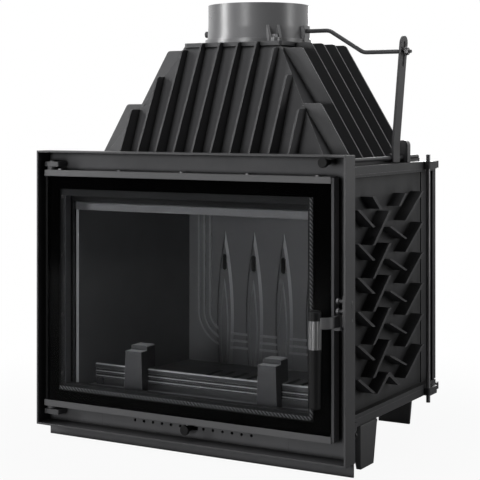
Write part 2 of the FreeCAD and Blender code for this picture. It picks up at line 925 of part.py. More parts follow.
def side_wall(label, side):
    """A cast wall with edge flanges and a herringbone of cooling ribs."""
    body = new_body(label)
    plate = new_sketch(body, "YZ", side * wall_inner)
    rectangle(plate, (front_back, rear_inner), (base_top, top_low))
    pad(body, plate, s.wall_thick, reverse=side < 0)
    edges = new_sketch(body, "YZ", side * wall_face)
    rectangle(edges, (front_back, rear_inner), (base_top, wall_low))
    rectangle(edges, (front_back, rear_inner), (top_low - s.wall_head, top_low))
    pad(body, edges, body_half - wall_face, reverse=side < 0)
    seam = new_sketch(body, "YZ", side * wall_face)
    seam_front = rear_inner - s.seam_inset
    rectangle(seam, (seam_front, seam_front + s.seam_width), (wall_low, top_low - s.wall_head))
    pocket(body, seam, s.seam_deep, reverse=side < 0)
    rib(body, side, rib_spot(1.0, 0.51), rib_spot(0.23, 1.09), s.rib_rows_outer)
    rib(body, side, rib_spot(1.0, 0.97), rib_spot(1.85, 1.93), s.rib_rows_inner)
    rib(body, side, rib_spot(2.75, 0.97), rib_spot(1.88, 1.44), s.rib_rows_inner)
    rib(body, side, rib_spot(2.75, 0.55), rib_spot(3.73, 1.4), s.rib_rows_outer)
    rib(body, side, rib_spot(1.35, 6.03), rib_spot(0.98, 6.43), None)
    rib(body, side, rib_spot(2.38, 6.03), rib_spot(2.75, 6.41), None)
    arch = new_sketch(body, "YZ", side * wall_face)
    foot = rib_spot(1.23, 0.44)
    far_foot = rib_spot(2.47, 0.44)
    inner_crown = rib_spot(1.85, 0.85)
    crown = rib_spot(1.85, 1.0)
    wire(arch, [
        foot,
        (foot[0] + s.rib_run, foot[1]),
        inner_crown + (s.rib_run,),
        (far_foot[0] - s.rib_run, far_foot[1]),
        far_foot,
        crown + (s.rib_run * 1.6,),
    ])
    pad(body, arch, s.rib_reach, reverse=side < 0)


side_wall("left_side_wall", -1)
side_wall("right_side_wall", 1)

# rear wall with corner posts, a rim and two columns of slanting ribs
body = new_body("rear_wall")
plate = new_sketch(body, "XZ", rear_face)
rectangle(plate, (-wall_face, wall_face), (base_top, top_low))
pad(body, plate, s.wall_thick)
edges = new_sketch(body, "XZ", s.rear_reach)
rectangle(edges, (-wall_face, wall_face), (base_top, base_top + s.wall_foot))
rectangle(edges, (-wall_face, wall_face), (top_low - s.wall_foot, top_low))
pad(body, edges, s.rear_rim)
posts = new_sketch(body, "XY", wall_low)
post_tip = wall_face + s.corner_reach
post_deep = (rear_inner - s.corner_depth, rear_face)
rectangle(posts, (wall_face, post_tip), post_deep)
rectangle(posts, (-post_tip, -wall_face), post_deep)
pad(body, posts, top_low - s.wall_head - wall_low)
slants = new_sketch(body, "XZ", rear_face + s.rear_rib_reach)
for side in (-1, 1):
    near = side * wall_face / 6
    far = side * wall_face * 5 / 6
    low = base_top + rib_pitch / 2
    run = side * s.rib_run
    outline = [(near, low), (near + run, low), (far, low + rib_pitch), (far - run, low + rib_pitch)]
    wire(slants, outline if side > 0 else outline[::-1])
first = pad(body, slants, s.rear_rib_reach)
repeat(body, [first], "Z", rib_pitch, s.rib_rows_outer)

# smoke dome: hollow tapered casting with a flange below and a cap for the collar
body = new_body("smoke_dome")
dome_flange_half = body_half - s.flange_side_gap
dome_flange_front = front_back + s.flange_front_gap
dome_flange_back = s.rear_reach - s.flange_back_gap
dome_top_half = s.flue_bore + s.throat_side
dome_top_front = flue_y - s.flue_bore - s.throat_end
dome_top_back = flue_y + s.flue_bore + s.throat_end
dome_foot = top_top + s.dome_flange
dome_head = dome_top - s.dome_cap
dome_rise = dome_head - dome_foot
flange = new_sketch(body, "XY", top_top)
rectangle(flange, (-dome_flange_half, dome_flange_half), (dome_flange_front, dome_flange_back), s.fin_corner)
pad(body, flange, s.dome_flange)


def dome_form(kind):
    """The dome's outer form, tapering from the flange to the cap."""
    low_edge = new_sketch(body, "XY", dome_foot)
    rectangle(low_edge, (-dome_base_half, dome_base_half), (dome_base_front, dome_base_back))
    high_edge = new_sketch(body, "XY", dome_head)
    rectangle(high_edge, (-dome_top_half, dome_top_half), (dome_top_front, dome_top_back))
    loft(body, kind, [low_edge, high_edge])


def cap_outline(height):
    """The cap's outline, which stands over the dome's head by the root of the fins."""
    cap = new_sketch(body, "XY", height)
    cap_half = dome_top_half + s.fin_root
    cap_deep = (dome_top_front - s.fin_root, dome_top_back + s.fin_root)
    rectangle(cap, (-cap_half, cap_half), cap_deep, s.fin_corner)
    return cap


dome_form("AdditiveLoft")
pad(body, cap_outline(dome_head), s.dome_cap)
low_hollow = new_sketch(body, "XY", top_top)
rectangle(low_hollow, (-dome_inner, dome_inner), dome_deep)
high_hollow = new_sketch(body, "XY", dome_head)
hollow_half = dome_top_half - s.dome_wall
rectangle(
    high_hollow,
    (-hollow_half, hollow_half),
    (dome_top_front + s.dome_wall, dome_top_back - s.dome_wall),
)
loft(body, "SubtractiveLoft", [low_hollow, high_hollow])
throat = new_sketch(body, "XY", dome_top)
circle(throat, 0, flue_y, s.flue_bore)
pocket(body, throat, s.dome_cap)

# dome fins: upright cast fins on the dome's four faces, cut off where they meet its wall and cap
body = new_body("dome_fins")
body.AllowCompound = True
fin_top = dome_top - s.fin_drop
fin_pitch = 2 * (dome_top_half - s.fin_edge) / (s.fin_count - 1)
fin_foot_front = dome_flange_front + s.fin_foot_inset
fin_foot_back = dome_flange_back - s.fin_foot_inset
fin_foot_side = dome_flange_half - s.fin_foot_inset
fin_head_front = dome_top_front - s.fin_head_reach
fin_head_back = dome_top_back + s.fin_head_reach
fin_head_side = dome_top_half + s.fin_side_reach
side_fin_first = flue_y - s.side_fin_before
side_fin_pitch = (s.side_fin_before + s.side_fin_after) / (s.side_fin_count - 1)
side_slope = (dome_base_half - dome_top_half) / dome_rise
front_slope = (dome_top_front - dome_base_front) / dome_rise
fin_front_slope = (fin_head_front - fin_foot_front) / (dome_top - dome_foot)
fin_side_slope = (fin_foot_side - fin_head_side) / (dome_top - dome_foot)


def front_fin(across, top):
    """An upright fin in front of the dome whose top corner is round."""
    drawing = new_sketch(body, "YZ", across)
    wire(drawing, [
        (fin_foot_front, dome_foot),
        (dome_base_front + s.fin_root, dome_foot),
        (dome_base_front + s.fin_root + front_slope * (top - dome_foot), top),
        (fin_foot_front + fin_front_slope * (top - dome_foot), top, s.fin_corner),
    ])
    return pad(body, drawing, s.fin_thick, both=True)


def side_fin(deep, top, side):
    """An upright fin beside the dome whose top corner is round."""
    drawing = new_sketch(body, "XZ", deep)
    outline = [
        (side * (dome_base_half - s.fin_root), dome_foot),
        (side * fin_foot_side, dome_foot),
        (side * (fin_foot_side - fin_side_slope * (top - dome_foot)), top, s.fin_corner),
        (side * (dome_base_half - s.fin_root - side_slope * (top - dome_foot)), top),
    ]
    wire(drawing, outline if side > 0 else outline[::-1])
    return pad(body, drawing, s.fin_thick, both=True)


first = front_fin(fin_pitch * (3 - s.fin_count) / 2, fin_top)
repeat(body, [first], "X", fin_pitch, s.fin_count - 2)
outer_fin_top = fin_top - s.fin_outer_drop
for side in (-1, 1):
    front_fin(side * fin_pitch * (s.fin_count - 1) / 2, outer_fin_top)
for steps in (0, 1):
    across = fin_pitch * ((s.fin_count + 1) / 2 + steps)
    top = dome_foot + (dome_base_half - across) / side_slope
    for side in (-1, 1):
        front_fin(side * across, top)
for side in (-1, 1):
    first = side_fin(side_fin_first + side_fin_pitch, fin_top, side)
    repeat(body, [first], "Y", side_fin_pitch, s.side_fin_count - 1)
    side_fin(side_fin_first, outer_fin_top, side)
    deep = side_fin_first - side_fin_pitch
    side_fin(deep, dome_foot + (deep - dome_base_front) / front_slope, side)
rear_fin = new_sketch(body, "YZ", fin_pitch * (1 - s.fin_count) / 2)
wire(rear_fin, [
    (dome_base_back - s.fin_root, dome_foot),
    (fin_foot_back, dome_foot),
    (fin_head_back, fin_top, s.fin_corner),
    (dome_top_back - s.fin_root, fin_top),
])
first = pad(body, rear_fin, s.fin_thick, both=True)
repeat(body, [first], "X", fin_pitch, s.fin_count)
dome_form("SubtractiveLoft")
pocket(body, cap_outline(dome_top), s.dome_cap)

# flue collar: turned spigot with shaft bosses, bolt lugs and pairs of gussets
body = new_body("flue_collar")
bind(body, "Placement.Base.y", flue_y - middle)
collar_foot = dome_top + s.collar_flange
spigot_foot = flue_top - s.collar_straight
gusset_top = spigot_foot - s.gusset_clear
profile = new_sketch(body, "XZ")
wire(profile, [
    (0, dome_top),
    (s.collar_flange_radius, dome_top),
    (s.collar_flange_radius, collar_foot),
    (s.collar_foot_radius, collar_foot),
    (s.flue_radius, spigot_foot),
    (s.flue_radius, flue_top),
    (0, flue_top),
])
revolve(body, profile, "V_Axis")
boss = new_sketch(body, "YZ")
boss_top = crank_z + s.boss_half
rectangle(boss, (-s.boss_half, s.boss_half), (dome_top, boss_top), s.boss_half / 3)
pad(body, boss, 2 * s.boss_reach, both=True)
half_root = 1 / math.sqrt(2)
lug_at = s.lug_circle * half_root
lug = new_sketch(body, "XY", dome_top)
circle(lug, lug_at, -lug_at, s.lug_radius)
lug_pad = pad(body, lug, s.collar_flange)
webs = []
for shift in (-half_root / 2, half_root / 2):
    web = new_sketch(body, "XZ")
    wire(web, [
        (s.flue_bore, dome_top),
        (s.lug_circle + s.lug_radius / 2, dome_top),
        (s.lug_circle + s.lug_radius / 2, collar_foot),
        (s.collar_foot_radius - s.gusset_sink, gusset_top),
        (s.flue_bore, gusset_top),
    ])
    quarter = FreeCAD.Rotation(FreeCAD.Vector(0, 1, 0), -45)
    web.AttachmentOffset = FreeCAD.Placement(FreeCAD.Vector(), quarter)
    bind(web, "AttachmentOffset.Base.x", shift * s.gusset_spread)
    bind(web, "AttachmentOffset.Base.z", -shift * s.gusset_spread)
    webs.append(pad(body, web, s.gusset_thick, both=True))
spin_copies(body, [lug_pad] + webs, 2)
drill = new_sketch(body, "XY", dome_top)
circle(drill, lug_at, -lug_at, s.bolt_radius + s.tie_gap)
hole = pocket(body, drill, s.collar_flange, reverse=True)
spin_copies(body, [hole], 2)
bore = new_sketch(body, "XY", flue_top)
circle(bore, 0, 0, s.flue_bore)
pocket(body, bore, flue_top - dome_top)
journal = new_sketch(body, "YZ")
circle(journal, 0, crank_z, s.shaft_radius + s.shaft_gap)
pocket(body, journal, 3 * s.boss_reach, both=True)

# collar bolts on the lugs
bolts = []
for side in (-1, 1):
    spot = (side * lug_at, flue_y - side * lug_at)
    shank = cylinder(s.bolt_radius, s.collar_flange, (spot[0], spot[1], dome_top))
    head = hexagon(s.bolt_head_radius, s.bolt_head, (spot[0], spot[1], collar_foot))
    bolts.append(join([shank, head]))
group("collar_bolts", bolts)


leg_face = body_half + s.leg_over
leg_front = front_back + s.leg_gap


def front_leg(label, side):
    """A tapered angle-section leg with a tab under the base plate."""
    body = new_body(label)
    outer = side * leg_face
    inner = side * (leg_face - s.leg_sheet)
    cheek = new_sketch(body, "YZ", inner)
    wire(cheek, [
        (leg_front, 0),
        (leg_front + s.leg_foot_length, 0),
        (leg_front + s.leg_head_length, base_low),
        (leg_front, base_low),
    ])
    pad(body, cheek, s.leg_sheet, reverse=side < 0)
    shin = new_sketch(body, "XZ", leg_front + s.leg_sheet)
    outline = [
        (outer - side * s.leg_foot_flange, 0),
        (outer, 0),
        (outer, base_low),
        (outer - side * s.leg_head_flange, base_low),
    ]
    wire(shin, outline if side > 0 else outline[::-1])
    pad(body, shin, s.leg_sheet)
    tab = new_sketch(body, "XY", base_low)
    edges = (outer - side * s.leg_tab, outer) if side > 0 else (outer, outer - side * s.leg_tab)
    rectangle(tab, edges, (leg_front, leg_front + s.leg_head_length))
    pad(body, tab, s.leg_sheet, reverse=True)


front_leg("leg_front_left", -1)
front_leg("leg_front_right", 1)


rear_leg_front = s.rear_reach - s.rear_leg_inset
rear_leg_head = body_half - s.rear_leg_side
rear_leg_foot = rear_leg_head - s.rear_leg_taper
rear_leg_inner = rear_leg_head - s.rear_leg_width


def rear_leg(label, side):
    """A flat tapered leg with a folded lip and a tab under the base plate."""
    body = new_body(label)
    shin = new_sketch(body, "XZ", rear_leg_front + s.leg_sheet)
    outline = [
        (side * rear_leg_inner, 0),
        (side * rear_leg_foot, 0),
        (side * rear_leg_head, base_low),
        (side * rear_leg_inner, base_low),
    ]
    wire(shin, outline if side > 0 else outline[::-1])
    pad(body, shin, s.leg_sheet)
    tab = new_sketch(body, "XY", base_low)
    edges = (side * rear_leg_inner, side * rear_leg_head)
    deep = (rear_leg_front - s.rear_leg_tab, rear_leg_front + s.leg_sheet)
    rectangle(tab, edges if side > 0 else edges[::-1], deep)
    pad(body, tab, s.leg_sheet, reverse=True)


rear_leg("leg_rear_left", -1)
rear_leg("leg_rear_right", 1)

# leg bolts on the front flanges
leg_bolt_z = base_low - s.leg_bolt_drop
bolts = []
for side in (-1, 1):
    across = side * (leg_face - s.leg_head_flange / 2)
    bolts.append(hexagon(s.bolt_head_radius, s.bolt_head, (across, leg_front - s.bolt_head, leg_bolt_z), "Y"))
group("leg_bolts", bolts)

# hearth plate, following the taper of the linings, with an opening for the grate
body = new_body("hearth_plate")
face = new_sketch(body, "XY", base_top)
wire(face, [
    (-mouth_half, lining_front),
    (mouth_half, lining_front),
    (lining_back_half, back_face + s.back_thick),
    (-lining_back_half, back_face + s.back_thick),
])
rectangle(face, (-grate_half, grate_half), (grate_front, grate_back))
pad(body, face, s.hearth_thick)

# grate: slotted casting lying on the base plate inside the hearth's opening
grate_slot_pitch = 2 * (grate_half - s.grate_slot_side) / (s.grate_slot_count - 1)
body = new_body("grate")
face = new_sketch(body, "XY", base_top)
rectangle(
    face,
    (-grate_half + s.grate_gap, grate_half - s.grate_gap),
    (grate_front + s.grate_gap, grate_back - s.grate_gap),
)
pad(body, face, s.hearth_thick)
opening = new_sketch(body, "XY", floor_top)
reach = (grate_front + s.grate_slot_margin, grate_back - s.grate_slot_margin)
upright_slot(opening, grate_slot_pitch * (1 - s.grate_slot_count) / 2, reach, s.grate_slot_radius)
hole = pocket(body, opening, s.hearth_thick)
repeat(body, [hole], "X", grate_slot_pitch, s.grate_slot_count)


def side_lining(label, side):
    body = new_body(label)
    plan = new_sketch(body, "XY", floor_top)
    outline = [
        (side * (mouth_half - s.lining_thick), lining_front),
        (side * mouth_half, lining_front),
        (side * lining_back_half, back_face - s.panel_gap),
        (side * (lining_back_half - s.lining_thick), back_face - s.panel_gap),
    ]
    wire(plan, outline if side > 0 else outline[::-1])
    pad(body, plan, lining_top - floor_top)


side_lining("left_lining", -1)
side_lining("right_lining", 1)

# back lining: raised leaves with oval air holes, and beads that turn in low down
back_top = lining_top + s.back_rise
bead_first = lining_back_half - s.bead_inset
bead_low = floor_top + s.bead_lift
body = new_body("back_lining")
plate = new_sketch(body, "XZ", back_face + s.back_thick)
rectangle(plate, (-lining_back_half, lining_back_half), (floor_top, back_top))
pad(body, plate, s.back_thick)
beads = []
for step in (0, 1, 2):
    outer = bead_first + step * s.bead_pitch
    low = bead_low - step * s.bead_drop
    corner = s.bead_corner + step * s.bead_drop
    drawing = new_sketch(body, "XZ", back_face)
    wire(drawing, [
        (0, low),
        (outer, low, corner),
        (outer, lining_top),
        (outer - s.bead_width, lining_top),
        (outer - s.bead_width, low + s.bead_width, corner - s.bead_width),
        (0, low + s.bead_width),
    ])
    beads.append(pad(body, drawing, s.bead_rise))
mirror(body, beads, "YZ")


def leaf(drawing, across, foot, tip, half, curve):
    right = arc_between(drawing, (across + half, foot), (across, tip), curve)
    left = arc_between(drawing, (across, tip), (across - half, foot), curve)
    line = Part.LineSegment(
        FreeCAD.Vector(number(across - half), number(foot), 0),
        FreeCAD.Vector(number(across + half), number(foot), 0),
    )
    base = drawing.addGeometry(line, False)
    drawing.addConstraint(Sketcher.Constraint("Coincident", base, 1, left, 2))
    drawing.addConstraint(Sketcher.Constraint("Coincident", base, 2, right, 1))


leaf_x = s.leaf_pitch * (1 - s.leaf_count) / 2
leaf_tip = lining_top - s.leaf_drop
leaf_face = back_face - s.leaf_rise


def raised_leaf(face, rise, tip, tip_slope, half, slope, curve):
    """A row of leaves whose flanks slope up from a face to a smaller flat leaf."""
    low = new_sketch(body, "XZ", face)
    leaf(low, leaf_x, floor_top, tip, half, curve)
    high = new_sketch(body, "XZ", face - rise)
    leaf(high, leaf_x, floor_top, tip - tip_slope, half - slope, curve)
    first = loft(body, "AdditiveLoft", [low, high])
    repeat(body, [first], "X", s.leaf_pitch, s.leaf_count)


raised_leaf(back_face, s.leaf_rise, leaf_tip, s.leaf_tip_slope, s.leaf_foot_half, s.leaf_slope, s.leaf_curve)
inner_tip = leaf_tip - s.inner_drop
raised_leaf(leaf_face, s.inner_rise, inner_tip, s.inner_tip_slope, s.inner_foot_half, s.inner_slope, s.inner_curve)
drawing = new_sketch(body, "XZ", leaf_face)
oval_z = leaf_tip - s.oval_drop
upright_slot(drawing, leaf_x, (oval_z - s.oval_half, oval_z + s.oval_half), s.oval_radius)
oval = pocket(body, drawing, s.leaf_rise + s.back_thick)
repeat(body, [oval], "X", s.leaf_pitch, s.leaf_count)

# smoke baffle lying on the side linings
body = new_body("smoke_baffle")
face = new_sketch(body, "XY", lining_top)
back_edge = back_face - s.baffle_gap
baffle_half = mouth_half - s.baffle_inset
baffle_front = back_face - s.baffle_depth
wire(face, [
    (-baffle_half, baffle_front),
    (baffle_half, baffle_front),
    (lining_back_half, back_edge, s.fin_corner),
    (-lining_back_half, back_edge, s.fin_corner),
])
pad(body, face, s.baffle_thick)

# airwash lintel: folded strip across the top of the fire mouth
body = new_body("airwash_lintel")
fold = new_sketch(body, "YZ")
lintel_top = lining_top + s.lintel_lip
wire(fold, [
    (lining_front, lining_top),
    (lining_front + s.lintel_sheet, lining_top),
    (lining_front + s.lintel_sheet, lintel_top - s.lintel_sheet),
    (lining_front + s.lintel_depth, lintel_top - s.lintel_sheet),
    (lining_front + s.lintel_depth, lintel_top),
    (lining_front, lintel_top),
])
pad(body, fold, 2 * (mouth_half + s.lintel_over), both=True)

# log fence: beaded bar on two feet
fence_half = mouth_half - s.fence_inset
fence_front = lining_front + s.fence_gap
fence_low = floor_top + s.fence_lift
fence_high = fence_low + s.fence_height
body = new_body("log_fence")
bar = new_sketch(body, "YZ")
fence_back = fence_front + s.fence_thick
ninth = s.fence_height / 9
groove = fence_front + s.fence_bead
outline = [
    (fence_front, fence_low),
    (fence_back, fence_low),
    (fence_back, fence_high, s.fence_bead),
    (fence_front, fence_high, s.fence_bead),
]
for bead in (3, 6):
    outline += [
        (fence_front, fence_high - bead * ninth),
        (groove, fence_high - (bead + 0.5) * ninth),
        (groove, fence_high - (bead + 1.5) * ninth),
        (fence_front, fence_high - (bead + 2) * ninth),
    ]
wire(bar, outline)
pad(body, bar, 2 * fence_half, both=True)
feet = new_sketch(body, "XZ", fence_back)
for side in (-1, 1):
    edges = (side * (fence_half - s.fence_foot), side * fence_half)
    rectangle(feet, edges if side > 0 else edges[::-1], (floor_top, fence_low + s.fence_bead))
pad(body, feet, s.fence_thick - s.fence_bead)


stop_x = fence_half - s.stop_inset
stop_front = fence_front - s.stop_ahead
stop_top = fence_high + s.stop_rise


def log_stop(across):
    """A stepped block that hooks over the fence."""
    block = doc.addObject("PartDesign::Body", "stop_block")
    face = new_sketch(block, "XZ", fence_back + s.stop_hook)
    wire(face, [
        (across - s.stop_foot_half, floor_top),
        (across + s.stop_foot_half, floor_top),
        (across + s.stop_head_half, stop_top + s.stop_step, s.fence_bead),
        (across - s.stop_head_half, stop_top + s.stop_step, s.fence_bead),
    ])
    pad(block, face, fence_back + s.stop_hook - stop_front)
    side_cut = new_sketch(block, "YZ", across)
    step_back = fence_front - s.stop_gap
    rectangle(side_cut, (step_back, fence_back + s.stop_hook), (floor_top, fence_high + s.stop_gap))
    rectangle(side_cut, (stop_front, step_back), (stop_top, stop_top + s.stop_step))
    pocket(block, side_cut, 4 * s.stop_foot_half, both=True)
    return block


group("log_stops", [log_stop(-stop_x), log_stop(stop_x)])

# ash box hung under the base plate, and the pan that stands in it
ash_half = grate_half - s.ash_inset
ash_low = base_low - s.ash_depth
body = new_body("ash_box")
box_half = ash_half + s.ash_wall
box_front = grate_front + s.ash_rim - s.ash_wall - s.pan_gap
box_back = grate_back - s.ash_rim + s.ash_wall + s.pan_gap
shell = new_sketch(body, "XY", ash_low)
rectangle(shell, (-box_half, box_half), (box_front, box_back), s.ash_rim / 2)
pad(body, shell, base_low - ash_low)
hollow = new_sketch(body, "XY", base_low)
rectangle(
    hollow,
    (-ash_half, ash_half),
    (box_front + s.ash_wall, box_back - s.ash_wall),
    s.ash_rim / 2 - s.ash_wall,
)
pocket(body, hollow, base_low - ash_low - s.ash_wall)
body = new_body("ash_pan")
pan_low = ash_low + s.ash_wall
pan_half = ash_half - s.pan_gap
pan_deep = (box_front + s.ash_wall + s.pan_gap, box_back - s.ash_wall - s.pan_gap)
shell = new_sketch(body, "XY", pan_low)
rectangle(shell, (-pan_half, pan_half), pan_deep, s.ash_rim / 2)
pad(body, shell, s.pan_height)
hollow = new_sketch(body, "XY", pan_low + s.pan_height)
rectangle(
    hollow,
    (-pan_half + s.ash_wall, pan_half - s.ash_wall),
    (pan_deep[0] + s.ash_wall, pan_deep[1] - s.ash_wall),
    s.ash_rim / 2 - s.ash_wall,
)
pocket(body, hollow, s.pan_height - s.ash_wall)

# door frame: ring with a front rebate for the glass and a rear groove for the seal
window_left = door_left + s.border_left
window_right = door_right - s.border_right
window_low = door_low + s.border_low
window_high = door_top - s.border_top
body = new_body("door_frame")
ring = new_sketch(body, "XZ", door_back)
rectangle(ring, (door_left, door_right), (door_low, door_top))
rectangle(ring, (window_left, window_right), (window_low, window_high))
pad(body, ring, door_back - s.door_front)
rebate = new_sketch(body, "XZ", s.door_front)
glass_left = door_left + s.door_rim
glass_right = door_right - s.door_rim
glass_low = door_low + s.door_rim
glass_top = door_top - s.door_rim
rectangle(rebate, (glass_left, glass_right), (glass_low, glass_top))
rebate_deep = s.glass_thick + s.seal_thick
pocket(body, rebate, rebate_deep)
groove = new_sketch(body, "XZ", door_back)
seal_left = door_left + s.seal_inset
seal_right = door_right - s.seal_inset
seal_low = door_low + s.seal_inset
seal_top = door_top - s.seal_inset
rectangle(groove, (seal_left, seal_right), (seal_low, seal_top))
rectangle(
    groove,
    (seal_left + s.seal_width, seal_right - s.seal_width),
    (seal_low + s.seal_width, seal_top - s.seal_width),
)
pocket(body, groove, s.seal_depth, reverse=True)
for edge, turn in ((door_left, 1), (door_right, -1)):
    bevel = new_sketch(body, "XY", door_low)
    outline = [
        (edge, door_back - s.door_corner),
        (edge, door_back),
        (edge + turn * s.door_corner, door_back),
    ]
    wire(bevel, outline[::-1] if turn > 0 else outline)
    pocket(body, bevel, door_top - door_low, reverse=True)

# glass pane in the rebate
body = new_body("door_glass")
pane = new_sketch(body, "XZ", s.door_front + s.glass_thick)
rectangle(
    pane,
    (glass_left + s.glass_gap, glass_right - s.glass_gap),
    (glass_low + s.glass_gap, glass_top - s.glass_gap),
    s.door_corner / 2,
)
pad(body, pane, s.glass_thick)

# flat rope seal behind the glass
rope_left = window_left - s.rope_out_left
rope_right = window_right + s.rope_out_right
rope_low = window_low - s.rope_out_low
rope_high = window_high + s.rope_out_top
body = new_body("glass_seal")
rope = new_sketch(body, "XZ", s.door_front + s.glass_thick + s.seal_thick - s.rope_gap)
wide = s.rope_radius
for turn in (1, -1):
    rectangle(
        rope,
        (rope_left - turn * wide, rope_right + turn * wide),
        (rope_low - turn * wide, rope_high + turn * wide),
        2 * wide + turn * wide,
    )
pad(body, rope, s.seal_thick - 2 * s.rope_gap)

# seal rope in the groove behind the door
body = new_body("door_seal")
rope = new_sketch(body, "XZ", s.frame_depth - s.seal_stand)
slack = s.rope_gap
rectangle(rope, (seal_left + slack, seal_right - slack), (seal_low + slack, seal_top - slack))
rectangle(
    rope,
    (seal_left + s.seal_width - slack, seal_right - s.seal_width + slack),
    (seal_low + s.seal_width - slack, seal_top - s.seal_width + slack),
)
pad(body, rope, s.frame_depth - s.seal_stand - door_back + s.seal_depth)


rail_left = door_left - s.rail_over
rail_right = door_right - s.rail_short


def door_rail(label, edge, turn):
    """A folded strip over the top or bottom edge of the door."""
    body = new_body(label)
    fold = new_sketch(body, "YZ", rail_left)
    outer = edge + turn * s.rail_sheet
    lip = outer - turn * s.rail_lip
    front = s.door_front - s.rail_sheet
    outline = [
        (front, lip),
        (s.door_front, lip),
        (s.door_front, edge),
        (door_back - s.door_corner, edge),
        (door_back - s.door_corner, outer),
        (front, outer),
    ]
    wire(fold, outline if turn > 0 else outline[::-1])
    pad(body, fold, rail_right - rail_left)


door_rail("door_top_rail", door_top, 1)
door_rail("door_bottom_rail", door_low, -1)
rail_top = door_top + s.rail_sheet
rail_low = door_low - s.rail_sheet


def domed_screw(radius, height, base, axis, turn=1):
    """A low domed screw head: a cylinder foot under a narrower cap."""
    foot = cylinder(radius, height * 0.6, base, axis)
    lift = {"X": (1, 0, 0), "Y": (0, 1, 0), None: (0, 0, 1)}[axis]
    start = 0 if turn < 0 else 0.6
    raised = [value + share * height * start for value, share in zip(base, lift)]
    cone = primitive("Cone", {
        "Radius1": radius * (0.55 if turn < 0 else 1),
        "Radius2": radius * (1 if turn < 0 else 0.55),
        "Height": height * 0.4,
    }, raised, axis)
    if turn < 0:
        for field, value in zip("xyz", [value + share * height * 0.4 for value, share in zip(base, lift)]):
            bind(foot, f"Placement.Base.{field}", value)
    return join([foot, cone])


# rail screws along the top of the door
rail_screw_first = rail_left + s.rail_screw_margin
rail_screw_last = rail_right - s.rail_screw_tail
rail_screw_pitch = (rail_screw_last - rail_screw_first) / (s.rail_screw_count - 1)
rail_screw_y = s.door_front + s.rail_screw_depth
screws = []
for step in range(SIZES["rail_screw_count"]):
    across = rail_screw_first + step * rail_screw_pitch
    screws.append(domed_screw(s.rail_screw_radius, s.rail_screw_head, (across, rail_screw_y, rail_top), None))
group("rail_screws", screws)

# screws on the left inner strip of the door frame
frame_screw_x = window_left - s.frame_screw_side
frame_screw_low = window_low + s.frame_screw_margin
frame_screw_high = window_high - s.frame_screw_tail
frame_screw_pitch = (frame_screw_high - frame_screw_low) / (s.frame_screw_count - 1)
screws = []
strip_face = s.door_front + rebate_deep
for step in range(SIZES["frame_screw_count"]):
    height = frame_screw_low + step * frame_screw_pitch
    base = (frame_screw_x, strip_face - s.frame_screw_head, height)
    screws.append(domed_screw(s.frame_screw_radius, s.frame_screw_head, base, "Y", turn=-1))
group("frame_screws", screws)


def knuckle(low):
    ring = cylinder(s.knuckle_radius, s.knuckle_length, (hinge_x, hinge_y, low))
    bore = cylinder(s.hinge_pin_radius + s.hinge_gap, s.knuckle_length, (hinge_x, hinge_y, low))
    return cut(ring, bore)


# hinge knuckles on the rails, brackets on the front plate, and the pins through both
upper_leaf = rail_top + s.knuckle_length + s.knuckle_space
lower_leaf = rail_low - s.knuckle_length - s.knuckle_space - s.hinge_leaf
hinge_leaf_left = hinge_x - s.hinge_leaf_before
hinge_leaf_right = hinge_x + s.hinge_leaf_after
group("hinge_knuckles", [knuckle(rail_top), knuckle(rail_low - s.knuckle_length)])
body = new_body("hinge_brackets")
for low in (upper_leaf, lower_leaf):
    leaf_plan = new_sketch(body, "XY", low)
    nose = hinge_y - s.knuckle_radius
    wire(leaf_plan, [
        (hinge_leaf_left, nose, s.hinge_leaf_round),
        (hinge_leaf_right, nose, s.hinge_leaf_round),
        (hinge_leaf_right, s.frame_depth),
        (hinge_leaf_left, s.frame_depth),
    ])
    circle(leaf_plan, hinge_x, hinge_y, s.hinge_pin_radius)
    pad(body, leaf_plan, s.hinge_leaf)
pin_length = s.hinge_leaf + s.knuckle_space + s.knuckle_length - s.knuckle_space
upper_pin = join([
    cylinder(s.hinge_pin_radius, pin_length, (hinge_x, hinge_y, upper_leaf + s.hinge_leaf - pin_length)),
    cylinder(s.hinge_pin_head_radius, s.hinge_pin_head, (hinge_x, hinge_y, upper_leaf + s.hinge_leaf)),
])
lower_pin = join([
    cylinder(s.hinge_pin_radius, pin_length, (hinge_x, hinge_y, lower_leaf)),
    cylinder(s.hinge_pin_head_radius, s.hinge_pin_head, (hinge_x, hinge_y, lower_leaf - s.hinge_pin_head)),
])
group("hinge_pins", [upper_pin, lower_pin])

# handle bracket and pivot on the right edge of the door
body = new_body("handle_bracket")
leaf_plan = new_sketch(body, "XY", arm_low - s.pivot_space - s.pivot_leaf)
wire(leaf_plan, [
    (door_right, pivot_y - s.pivot_leaf_length / 2),
    (arm_x + s.pivot_eye, pivot_y - s.pivot_eye, s.pivot_round),
    (arm_x + s.pivot_eye, pivot_y + s.pivot_eye, s.pivot_round),
    (door_right, pivot_y + s.pivot_leaf_length / 2),
])
pad(body, leaf_plan, s.pivot_leaf)
pivot = new_sketch(body, "XY", arm_low - s.pivot_space)
circle(pivot, arm_x, pivot_y, s.pivot_radius)
pad(body, pivot, s.pivot_space + s.arm_height)

